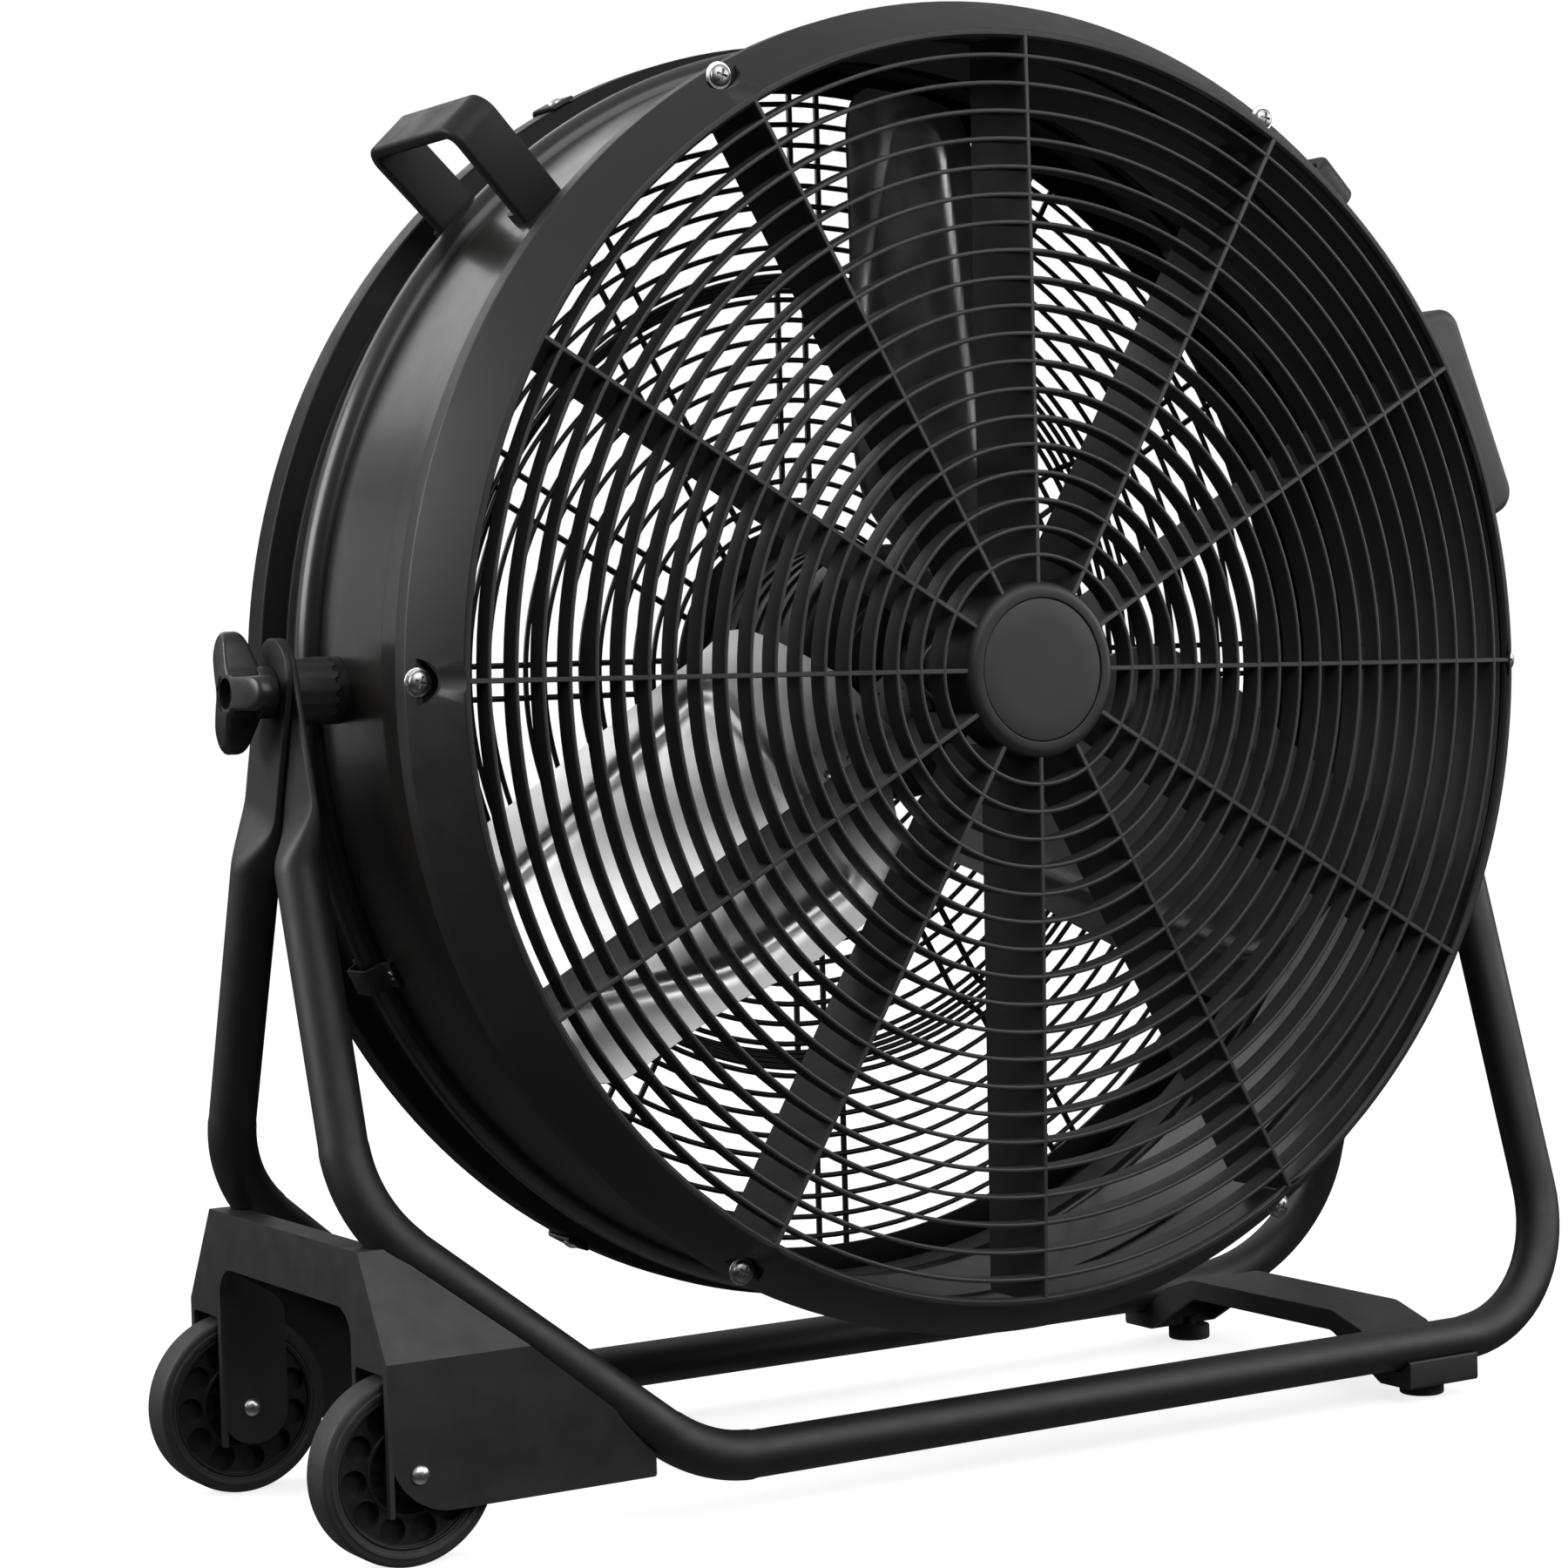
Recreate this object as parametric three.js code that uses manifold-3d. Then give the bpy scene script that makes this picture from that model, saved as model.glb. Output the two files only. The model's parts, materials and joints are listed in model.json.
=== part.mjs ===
// High velocity drum fan on a tilting floor stand with two wheels.
// Millimetres. X is to the fan's right as seen from the front, Y goes back, Z is up.
import * as THREE from "three";
import { mergeVertices } from "three/addons/utils/BufferGeometryUtils.js";
import Module from "manifold-3d";

const wasm = await Module();
wasm.setup();

// Clearances shared by all pieces
const gap = 0.3; // between two pieces that touch
const boreGap = 0.3; // round a shaft, a bolt or a screw, on the radius
const overrun = 6; // how far a cutting body runs past what it cuts

// Drum: a rolled steel ring, given by its plain band and its steps from it
const drum = {
  radius: 337,
  sheet: 2,
  neckInset: 3,
  neckClearance: 1,
  joggleY: 28,
  joggleLength: 4,
  raisedStep: 2,
  stepY: 74,
  beadY: 158,
  beadHalfWidth: 10,
  beadHeight: 9,
  grooveStep: 1,
  rimY: 190,
  rimStep: 13,
  rimRound: 3,
  depth: 212,
  flangeInset: 11,
  segments: 36,
};

// Front grille: one moulding with a hub, ribs, rings and a flared skirt
const grille = {
  lipInset: 7,
  lipRound: 2,
  skirtFlare: 11.4,
  skirtDepth: 27,
  hemLength: 11,
  wall: 2.5,
  domeRise: 3.8,
  turn: -0.6,
  ribCount: 12,
  ribThickness: 2.5,
  ribDepth: 50,
  ribClearance: 1.5,
  ringCount: 7,
  firstRingInset: 13.5,
  lastRingInset: 13.1,
  ringThickness: 2.2,
  ringDepth: 13,
  hubRadius: 46,
  hubProud: 2.5,
  hubCorner: 4,
  hubDepth: 18,
  badgeRadius: 37,
  badgeThickness: 1.5,
  badgeSink: 0.4,
};

// Six screws that hold the grille to the drum's neck
const grilleScrew = {
  count: 6,
  inset: 5,
  washerRadius: 7,
  washerThickness: 1.2,
  headRadius: 4.25,
  headHeight: 3,
  shankRadius: 2.2,
  tipLength: 0.8,
  pocketWidth: 23,
};

// Rear guard: welded wire rings on pairs of radial wires, stepped back in the middle
const guard = {
  wire: 2.6,
  weld: 0.5,
  armCount: 6,
  firstArm: 30,
  armPitch: 18,
  outerLap: 5,
  outerRingCount: 1,
  stepRadius: 223,
  stepHalfWidth: 5,
  stepBack: 18,
  innerRingCount: 2,
  centreRadius: 34,
  segments: 24,
};

// Clips that hold the guard's outer ring to the drum's rim
const guardClip = {
  angles: [62, 118, 203, 240, 300, 337],
  width: 14,
  thickness: 2,
  hold: 20,
  reach: 5,
  rivetRadius: 4,
  rivetHeight: 2,
  rivetShank: 2.2,
  rivetInset: 11,
};

// Motor, seated on a plate at the middle of the guard
const motor = {
  radius: 70,
  wall: 2.5,
  length: 83,
  capLength: 20,
  corner: 6,
  plateRadius: 84,
  plateThickness: 2.5,
  statorBore: 40,
  statorLength: 45,
  airGap: 0.8,
  coreLength: 41,
  bearingRadius: 17.5,
  bearingWidth: 11,
  bearingWall: 4,
  shaftRadius: 7.5,
  shaftClearance: 1.5,
  boltCircle: 57,
  boltAngles: [30, 150, 210, 330],
  boltRadius: 2.5,
  boltWasherRadius: 13,
  boltWasherThickness: 1.6,
  boltHeadRadius: 4.5,
  boltHeadHeight: 3.5,
};

// Rotor: three broad pressed blades on a spider that is keyed to the shaft
const rotor = {
  bladeCount: 3,
  firstBlade: 93,
  pitch: 30,
  tipClearance: 23,
  setback: 25,
  lead: 75,
  trail: 68,
  camber: 4,
  bladeSheet: 1.4,
  collarRadius: 17,
  collarLength: 26,
  armLength: 100,
  armWidth: 30,
  armSheet: 2.5,
  nutAcross: 12,
  nutLength: 8,
  shaftTip: 3,
};

// Blade outline, from root to tip: shares of the tip radius, of lead and of trail
const bladeShares = [
  [0.135, 0.36, 0.18],
  [0.215, 0.95, 0.45],
  [0.33, 1.0, 0.96],
  [0.53, 1.0, 1.0],
  [0.7, 1.0, 0.86],
  [0.85, 1.0, 0.8],
  [0.93, 0.97, 0.76],
  [0.975, 0.8, 0.62],
  [0.997, 0.42, 0.4],
];
const bladeColumns = 6;

// Handles: two straps across the drum
const handle = {
  angles: [45, 135],
  frontInset: 45.6,
  rise: 63,
  width: 28,
  thickness: 7,
  corner: 8,
  flare: 4,
  edge: 2,
  footLength: 12,
  footThickness: 4,
};

// Control box on the drum's right flank, with its switch and its knob
const box = {
  angle: 22.5,
  frontY: 50,
  length: 114,
  width: 122,
  rise: 52,
  rootWidth: 136,
  wall: 2.5,
  corner: 12,
  knobRadius: 17,
  knobHeight: 17,
  knobLead: 0.6,
  stemRadius: 3,
  switchWidth: 30,
  switchHeight: 20,
  capacitorRadius: 14,
  capacitorLength: 60,
  capacitorInset: 23,
  glandRadius: 8,
  glandLength: 16,
  glandFlange: 3,
  glandInset: 21,
  glandRise: 26,
};

// Clip over the drum's bead for the motor lead
const leadClip = {
  angle: 205.5,
  width: 14,
  thickness: 2,
  foot: 9,
  headroom: 2,
};

// Tilt pivots: toothed bosses on the drum, toothed spacers and clamp knobs on the stand
const pivot = {
  y: 130.6,
  bossRadius: 17,
  bossLength: 4,
  spigotRadius: 8,
  spigotLength: 8,
  toothCount: 16,
  toothHeight: 2,
  toothGap: 0.5,
  boltRadius: 4,
  boltEnd: 3,
  collarRadius: 13,
  collarLength: 5,
  knobRadius: 24,
  knobLobe: 10,
  knobDroop: 4,
  knobArm: 9,
  lobeCount: 3,
  knobDepth: 19,
  recessRadius: 9,
  recessDepth: 5,
};

// Stand: two bent tubes that cross at the pivots
const stand = {
  tubeRadius: 12.5,
  tubeSides: 10,
  sideRoom: 34,
  legTilt: 17.07,
  baseRoom: 49.7,
  groundRoom: 30.3,
  rightBend: 80,
  leftBend: 75,
  leftCornerRise: 135.7,
  leftCornerInset: 167,
  bendSteps: 5,
  endSheet: 4,
  endHalfWidth: 19,
  endTop: 27,
  endBottom: 60,
  taperLength: 34,
  plateInset: 7,
};

// Bar across the two base tubes on the right, with its two rubber feet
const bar = {
  inset: 104,
  width: 50,
  sheet: 3,
  overhang: 1,
  saddleDrop: 21.5,
  saddleRise: 6,
  saddleLength: 26,
  shoulderRun: 42,
  shoulderDrop: 6.5,
  crownRun: 68,
  crownRise: 14.5,
  flange: 12,
};
const foot = {
  offset: 5,
  inset: 11.75,
  edge: 1.2,
  radius: 12.5,
  spigotRadius: 4,
  spigotLength: 6,
};

// Wheels, their axles and the sheet housing on the left
const wheel = {
  inset: 11,
  radius: 46,
  tread: 21,
  shoulder: 4,
  rimRadius: 31,
  rimWidth: 18,
  bossRadius: 11,
  bossWidth: 32,
  webThickness: 5,
  axleRadius: 3.2,
  headRadius: 4.8,
  headHeight: 2.5,
};
const housing = {
  sheet: 2.5,
  wallInset: 5,
  sideInset: 0.15,
  topRise: 150,
  topInset: 28.7,
  topFlange: 15,
  creaseRise: 100,
  bottomRise: 27,
  rightInset: 139,
  rightCorner: 8,
  tubeShow: 8,
  corner: 34,
  bay: 34,
  notchClearance: 5,
  windowRise: 121,
  windowCorner: 15,
  cheekReach: 36,
  cheekCorner: 17,
};

// Sizes that follow from the ones above
const lipRadius = drum.radius - grille.lipInset;
const skirtRadius = drum.radius + grille.skirtFlare;
const neckRadius = drum.radius - drum.neckInset;
const flangeRadius = drum.radius - drum.flangeInset;
const rimRadius = drum.radius + drum.rimStep;
const skirtSlope = (skirtRadius - lipRadius) / grille.skirtDepth;
const skirtRadialWall = grille.wall * Math.hypot(1, skirtSlope);
const drumFrontY = (neckRadius + drum.neckClearance + skirtRadialWall - lipRadius) / skirtSlope;
const guardY = drum.depth + gap + guard.wire / 2;
const guardDiscY = guardY + guard.stepBack;
const guardRingBack = guard.wire - guard.weld;
const plateBackY = guardDiscY - guardRingBack - guard.wire / 2 - gap;
const plateFrontY = plateBackY - motor.plateThickness;
const capBackY = plateFrontY - gap;
const capFrontY = capBackY - motor.capLength;
const motorFrontY = capFrontY - gap - motor.length;
const bladeY = motorFrontY - rotor.setback;
const tipRadius = drum.radius - drum.sheet - rotor.tipClearance;
const legX = drum.radius + stand.sideRoom;
const baseDrop = drum.radius + stand.baseRoom;
const floorDrop = baseDrop + stand.groundRoom;
const legTilt = THREE.MathUtils.degToRad(stand.legTilt);
const baseSpread = baseDrop * Math.tan(legTilt);
const plateInnerX = legX - stand.plateInset;
const plateOuterX = plateInnerX + 2 * stand.endSheet + gap;
const leftCornerDrop = baseDrop - stand.leftCornerRise;
const barX = legX - bar.inset;
const footX = barX + foot.offset;
const footSpread = baseSpread - foot.inset;
const wheelX = legX - wheel.inset;
const axleDrop = floorDrop - wheel.radius;
const shell = {
  ...housing,
  halfDepth: baseSpread - housing.sideInset,
  topDrop: floorDrop - housing.topRise,
  creaseDrop: floorDrop - housing.creaseRise,
  bottomDrop: floorDrop - housing.bottomRise,
  windowDrop: floorDrop - housing.windowRise,
  rightX: legX - housing.rightInset,
};
const wheelSpread = shell.halfDepth - shell.sheet - shell.bay / 2;

// Finishes
const finish = (color, roughness, metalness) =>
  new THREE.MeshStandardMaterial({ color, roughness, metalness });
const paint = finish(0x17181a, 0.35, 0.3);
const powderCoat = finish(0x1b1c1e, 0.5, 0.2);
const plastic = finish(0x222427, 0.6, 0);
const rubber = finish(0x1a1a1b, 0.9, 0);
const zinc = finish(0xb9bcc0, 0.3, 1);
const steel = finish(0x8c8f93, 0.35, 1);
const aluminium = finish(0xc9ccd0, 0.3, 1);
const copper = finish(0xb06a3a, 0.4, 1);
const blackSteel = finish(0x2a2b2d, 0.4, 0.7);

// Geometry helpers
const radians = THREE.MathUtils.degToRad;
const vector2 = ([x, y]) => new THREE.Vector2(x, y);

// A closed triangle mesh as a solid that can be joined and cut.
function toSolid(geometry) {
  const bare = geometry.clone();
  bare.deleteAttribute("normal");
  bare.deleteAttribute("uv");
  const merged = mergeVertices(bare, 1e-4);
  return new wasm.Manifold(
    new wasm.Mesh({
      numProp: 3,
      vertProperties: merged.attributes.position.array,
      triVerts: new Uint32Array(merged.index.array),
    }),
  );
}

// A solid back as a three.js geometry.
function toGeometry(solid) {
  const mesh = solid.getMesh();
  const geometry = new THREE.BufferGeometry();
  geometry.setAttribute("position", new THREE.BufferAttribute(mesh.vertProperties, mesh.numProp));
  geometry.setIndex(new THREE.BufferAttribute(mesh.triVerts, 1));
  geometry.computeVertexNormals();
  return geometry;
}

function join(...geometries) {
  return toGeometry(geometries.map(toSolid).reduce((whole, next) => whole.add(next)));
}

function cut(geometry, ...tools) {
  return toGeometry(tools.map(toSolid).reduce((rest, tool) => rest.subtract(tool), toSolid(geometry)));
}

function common(a, b) {
  return toGeometry(toSolid(a).intersect(toSolid(b)));
}

// The same shape on the other side of a plane through the origin: factors are 1 or -1.
function mirrored(geometry, x, y, z) {
  const copy = mergeVertices(geometry.clone()).scale(x, y, z);
  const index = copy.index.array;
  for (let i = 0; i < index.length; i += 3) {
    [index[i], index[i + 1]] = [index[i + 1], index[i]];
  }
  return copy;
}

// A body turned about the Y axis from an outline of [radius, y] points.
function revolve(outline, segments) {
  const points = outline.map(vector2);
  if (THREE.ShapeUtils.area(points) < 0) points.reverse();
  if (points[0].x > 0 || points.at(-1).x > 0) points.push(points[0].clone());
  return new THREE.LatheGeometry(points, segments);
}

// The same, turned to lie along the X axis.
const revolveX = (outline, segments) => revolve(outline, segments).rotateZ(-Math.PI / 2);

// A flat plate from an outline of [x, y] points, as thick as given, centred on z = 0.
function plateXY(outline, thickness) {
  const shape = new THREE.Shape(outline.map(vector2));
  const plate = new THREE.ExtrudeGeometry(shape, { depth: thickness, bevelEnabled: false });
  return plate.translate(0, 0, -thickness / 2);
}

// A plate from [x, z] points that lies from y to y + thickness.
function plateXZ(outline, y, thickness) {
  return plateXY(outline, thickness).rotateX(Math.PI / 2).translate(0, y + thickness / 2, 0);
}

// A plate from [y, z] points that lies from x to x + thickness.
function plateYZ(outline, x, thickness) {
  const turn = new THREE.Matrix4().makeBasis(
    new THREE.Vector3(0, 1, 0),
    new THREE.Vector3(0, 0, 1),
    new THREE.Vector3(1, 0, 0),
  );
  return plateXY(outline, thickness).applyMatrix4(turn).translate(x + thickness / 2, 0, 0);
}

// A box between two corners.
function block([x0, y0, z0], [x1, y1, z1]) {
  const body = new THREE.BoxGeometry(x1 - x0, y1 - y0, z1 - z0);
  return body.translate((x0 + x1) / 2, (y0 + y1) / 2, (z0 + z1) / 2);
}

const rectangle = (x0, y0, x1, y1) => [[x0, y0], [x1, y0], [x1, y1], [x0, y1]];

// Corners given as [x, y, radius], with each radius drawn as a short arc.
function roundCorners(corners, steps, closed = true) {
  const last = corners.length - 1;
  return corners.flatMap(([x, y, radius], i) => {
    if (!radius || (!closed && (i === 0 || i === last))) return [[x, y]];
    const at = new THREE.Vector2(x, y);
    const before = vector2(corners[i === 0 ? last : i - 1]).sub(at).normalize();
    const after = vector2(corners[i === last ? 0 : i + 1]).sub(at).normalize();
    const half = Math.acos(THREE.MathUtils.clamp(before.dot(after), -1, 1)) / 2;
    const bisector = before.clone().add(after).normalize();
    const centre = bisector.multiplyScalar(radius / Math.sin(half)).add(at);
    const start = before.clone().multiplyScalar(radius / Math.tan(half)).add(at);
    const sweep = (Math.PI - 2 * half) * Math.sign(after.cross(before));
    return Array.from({ length: steps + 1 }, (_, k) => {
      const point = start.clone().rotateAround(centre, (sweep * k) / steps);
      return [point.x, point.y];
    });
  });
}

// The closed outline of a sheet whose outer face follows a line of [x, y] points.
function thicken(line, sheet) {
  const inner = line.map((point, i) => {
    const at = vector2(point);
    const sides = [line[i - 1] && [line[i - 1], point], line[i + 1] && [point, line[i + 1]]];
    const normals = sides.filter(Boolean).map(([a, b]) => {
      const along = vector2(b).sub(vector2(a)).normalize();
      return new THREE.Vector2(-along.y, along.x);
    });
    const mean = normals.reduce((sum, n) => sum.add(n), new THREE.Vector2()).normalize();
    const inward = at.add(mean.multiplyScalar(sheet / mean.dot(normals[0])));
    return [inward.x, inward.y];
  });
  return [...line, ...inner.reverse()];
}

// A route through a list of points, one station at each point.
class Route extends THREE.Curve {
  constructor(points) {
    super();
    this.points = points;
  }
  getPointAt(u, target = new THREE.Vector3()) {
    return target.copy(this.points[Math.round(u * (this.points.length - 1))]);
  }
  getTangentAt(u, target = new THREE.Vector3()) {
    const i = Math.round(u * (this.points.length - 1));
    const here = this.points[i];
    const before = this.points[i - 1] ?? here;
    const after = this.points[i + 1] ?? here;
    const arrive = here.clone().sub(before).normalize();
    const leave = after.clone().sub(here).normalize();
    return target.copy(arrive.add(leave)).normalize();
  }
}

// A bar of the given section along a route.
function sweep(section, points) {
  return new THREE.ExtrudeGeometry(new THREE.Shape(section.map(vector2)), {
    steps: points.length - 1,
    extrudePath: new Route(points),
    bevelEnabled: false,
  });
}

// A regular polygon that stands round a circle of the given radius.
function circle(radius, sides) {
  return Array.from({ length: sides }, (_, k) => {
    const angle = (2 * Math.PI * k) / sides;
    return [radius * Math.cos(angle), radius * Math.sin(angle)];
  });
}

const pin = (radius, x0, x1, sides = 12) => revolveX([[0, x0], [radius, x0], [radius, x1], [0, x1]], sides);
const pinY = (radius, y0, y1, sides = 12) => revolve([[0, y0], [radius, y0], [radius, y1], [0, y1]], sides);

// One named piece of the fan.
function piece(parent, name, geometry, material) {
  const mesh = new THREE.Mesh(geometry, material);
  mesh.name = name;
  parent.add(mesh);
  return mesh;
}

// A group turned about the fan's axis, so that its X axis points outward at the angle.
function outward(parent, angle) {
  const arm = new THREE.Group();
  arm.rotation.y = -radians(angle);
  parent.add(arm);
  return arm;
}

// Drum
const drumLine = [
  [neckRadius, drumFrontY],
  [neckRadius, drum.joggleY],
  [drum.radius + drum.raisedStep, drum.joggleY + drum.joggleLength],
  [drum.radius + drum.raisedStep, drum.stepY - drum.raisedStep / 2],
  [drum.radius, drum.stepY + drum.raisedStep / 2],
  ...beadPoints(),
  [drum.radius + drum.grooveStep, drum.rimY - drum.rimRound],
  [rimRadius, drum.rimY + drum.rimRound],
  [rimRadius, drum.depth - drum.rimRound],
  [rimRadius - drum.rimRound, drum.depth],
  [flangeRadius, drum.depth],
];

// The bead's section: half a wave between the band and the groove.
function beadPoints() {
  const steps = 3;
  return Array.from({ length: steps + 1 }, (_, k) => {
    const angle = (Math.PI * k) / steps;
    const base = drum.radius + (drum.grooveStep * k) / steps;
    const rise = (drum.beadHeight - drum.grooveStep / 2) * Math.sin(angle);
    return [base + rise, drum.beadY - drum.beadHalfWidth * Math.cos(angle)];
  });
}

// The room that the drum takes, with a clearance round it, as seen from a piece at an angle.
function drumRoom(angle = 0) {
  const line = drumLine.slice(0, -1).map(([radius, y]) => [radius + gap, y]);
  const room = revolve([[0, line[0][1]], ...line, [0, line.at(-1)[1]]], drum.segments);
  return room.rotateY(radians(angle));
}

function drumShell() {
  const shell = revolve(thicken(drumLine, drum.sheet), drum.segments);
  const spigotHole = drum.radius + overrun;
  const holes = [pin(pivot.spigotRadius + boreGap, -spigotHole, spigotHole, 16).translate(0, pivot.y, 0)];
  for (let k = 0; k < grilleScrew.count; k += 1) {
    const hole = pin(grilleScrew.shankRadius + boreGap, neckRadius - overrun, neckRadius + overrun, 8);
    hole.translate(0, drumFrontY + grilleScrew.inset, 0);
    holes.push(hole.rotateY(-radians(grille.turn + (360 * k) / grilleScrew.count)));
  }
  for (const angle of guardClip.angles) {
    const hole = pin(guardClip.rivetShank + boreGap, rimRadius - overrun, rimRadius + overrun, 8);
    holes.push(hole.translate(0, drum.depth - guardClip.rivetInset, 0).rotateY(-radians(angle)));
  }
  return cut(shell, ...holes);
}

// Front grille
const hubFrontY = -grille.domeRise - grille.hubProud;
const seatRadius = neckRadius + gap + grille.wall;
const ringPitch =
  (lipRadius - grille.lastRingInset - grille.hubRadius - grille.firstRingInset) / (grille.ringCount - 1);
const domeY = (radius) => -grille.domeRise * (1 - (radius / lipRadius) ** 2);
const skirtMiddle = (y) => lipRadius + skirtSlope * y - skirtRadialWall / 2;

function grilleHub() {
  const floor = hubFrontY + grille.badgeSink + grille.badgeThickness + gap;
  const well = grille.badgeRadius + gap;
  const inner = grille.hubRadius - grille.wall;
  return revolve(
    [
      [0, floor],
      [well, floor],
      [well, hubFrontY],
      [grille.hubRadius - grille.hubCorner, hubFrontY],
      [grille.hubRadius - grille.hubCorner / 3, hubFrontY + grille.hubCorner / 3],
      [grille.hubRadius, hubFrontY + grille.hubCorner],
      [grille.hubRadius, grille.hubDepth],
      [inner, grille.hubDepth],
      [inner, floor + grille.wall],
      [0, floor + grille.wall],
    ],
    24,
  );
}

function grilleRib() {
  const inner = grille.hubRadius - grille.wall / 2;
  const shoulderY = drumFrontY - gap;
  const reach = neckRadius - drum.sheet - grille.ribClearance;
  return plateXY(
    [
      [inner, domeY(inner) + gap],
      [lipRadius - grille.wall, gap],
      [skirtMiddle(grille.wall), grille.wall],
      [skirtMiddle(shoulderY), shoulderY],
      [reach, shoulderY],
      [reach, grille.ribDepth],
      [inner, grille.ribDepth],
    ],
    grille.ribThickness,
  );
}

// One ring: a thin blade, widest at its front edge.
function grilleRing(radius) {
  const half = grille.ringThickness / 2;
  const front = domeY(radius);
  return revolve([[radius - half, front], [radius + half, front], [radius, front + grille.ringDepth]], 24);
}

function grilleSkirt() {
  const end = grille.skirtDepth + grille.hemLength;
  const line = [
    [lipRadius - 2 * grille.lipRound, grille.lipRound],
    [lipRadius - grille.lipRound, 0],
    [lipRadius, grille.lipRound / 2],
    [skirtRadius, grille.skirtDepth],
    [skirtRadius, end],
  ];
  return revolve(thicken(line, grille.wall), drum.segments);
}

// A pad under the skirt that carries a screw, kept inside the skirt's outer face.
function screwPad() {
  const half = grilleScrew.pocketWidth / 2 + grille.wall;
  const pad = block([seatRadius - grille.wall, drumFrontY, -half], [skirtRadius, grille.skirtDepth, half]);
  const coneLine = [[0, 0], [lipRadius, 0], [skirtRadius, grille.skirtDepth], [0, grille.skirtDepth]];
  const cone = revolve(coneLine, drum.segments);
  return common(pad, cone);
}

function screwPocket() {
  const half = grilleScrew.pocketWidth / 2;
  const back = grille.skirtDepth - grille.wall;
  return block([seatRadius, -overrun, -half], [skirtRadius + overrun, back, half]);
}

function frontGrille() {
  const parts = [grilleHub(), grilleSkirt()];
  for (let k = 0; k < grille.ringCount; k += 1) {
    parts.push(grilleRing(grille.hubRadius + grille.firstRingInset + ringPitch * k));
  }
  for (let k = 0; k < grille.ribCount; k += 1) {
    parts.push(grilleRib().rotateY((2 * Math.PI * k) / grille.ribCount));
  }
  const tools = [];
  for (let k = 0; k < grilleScrew.count; k += 1) {
    const turn = (2 * Math.PI * k) / grilleScrew.count;
    const hole = pin(grilleScrew.shankRadius + boreGap, neckRadius, skirtRadius + overrun, 8);
    parts.push(screwPad().rotateY(turn));
    tools.push(screwPocket().rotateY(turn));
    tools.push(hole.translate(0, drumFrontY + grilleScrew.inset, 0).rotateY(turn));
  }
  return cut(join(...parts), ...tools);
}

function hubBadge() {
  const front = hubFrontY + grille.badgeSink;
  return pinY(grille.badgeRadius, front, front + grille.badgeThickness, 24);
}

// A pan-head screw and its washer, along X from the seat.
function grilleScrewBody() {
  const seat = seatRadius + gap;
  const top = seat + grilleScrew.washerThickness;
  const tip = neckRadius - drum.sheet - grilleScrew.tipLength;
  return revolveX(
    [
      [0, tip],
      [grilleScrew.shankRadius, tip],
      [grilleScrew.shankRadius, seat],
      [grilleScrew.washerRadius, seat],
      [grilleScrew.washerRadius, top],
      [grilleScrew.headRadius, top],
      [grilleScrew.headRadius, top + grilleScrew.headHeight / 2],
      [grilleScrew.headRadius / 2, top + grilleScrew.headHeight],
      [0, top + grilleScrew.headHeight],
    ],
    10,
  );
}

// Rear guard
const wireRing = (radius, y) => {
  const half = guard.wire / 2;
  return revolve(rectangle(radius - half, y - half, radius + half, y + half), guard.segments);
};

// One radial wire: over the drum's flange, back at the step, then in to the middle.
function guardWire(offset) {
  const line = [
    [flangeRadius + guard.outerLap, guardY + guard.wire / 2],
    [guard.stepRadius + guard.stepHalfWidth, guardY + guard.wire / 2],
    [guard.stepRadius - guard.stepHalfWidth, guardDiscY + guard.wire / 2],
    [guard.centreRadius - guard.wire / 2, guardDiscY + guard.wire / 2],
  ];
  return plateXY(thicken(line, guard.wire), guard.wire).translate(0, 0, offset);
}

function rearGuard() {
  const outerPitch = (flangeRadius - guard.stepRadius - guard.stepHalfWidth) / (guard.outerRingCount + 0.5);
  const innerPitch =
    (guard.stepRadius - guard.stepHalfWidth - guard.centreRadius) / (guard.innerRingCount + 0.5);
  const parts = [wireRing(flangeRadius + guard.outerLap - guard.wire / 2, guardY)];
  for (let k = 0; k < guard.outerRingCount; k += 1) {
    const radius = guard.stepRadius + guard.stepHalfWidth + outerPitch * (k + 0.5);
    parts.push(wireRing(radius, guardY - guardRingBack));
  }
  for (let k = 0; k <= guard.innerRingCount; k += 1) {
    parts.push(wireRing(guard.centreRadius + innerPitch * k, guardDiscY - guardRingBack));
  }
  for (let k = 0; k < guard.armCount; k += 1) {
    const turn = radians(guard.firstArm + (360 * k) / guard.armCount);
    parts.push(guardWire(guard.armPitch / 2).rotateY(-turn), guardWire(-guard.armPitch / 2).rotateY(-turn));
  }
  return join(...parts);
}

// An angle clip round the rim's rear edge, with its rivet.
function guardClipBody() {
  const outer = rimRadius + gap + guardClip.thickness;
  const back = drum.depth + 2 * gap + guard.wire + guardClip.thickness;
  const line = [
    [outer, drum.depth - guardClip.hold],
    [outer, back],
    [flangeRadius + guard.outerLap - guard.wire - guardClip.reach / 2, back],
  ];
  const clip = plateXY(thicken(line, guardClip.thickness), guardClip.width);
  const rivet = revolveX(
    [
      [0, rimRadius - drum.sheet - gap],
      [guardClip.rivetShank, rimRadius - drum.sheet - gap],
      [guardClip.rivetShank, outer - gap],
      [guardClip.rivetRadius, outer - gap],
      [guardClip.rivetRadius, outer + guardClip.rivetHeight / 2],
      [guardClip.rivetRadius / 2, outer + guardClip.rivetHeight],
      [0, outer + guardClip.rivetHeight],
    ],
    8,
  );
  return join(clip, rivet.translate(0, drum.depth - guardClip.rivetInset, 0));
}

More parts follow.
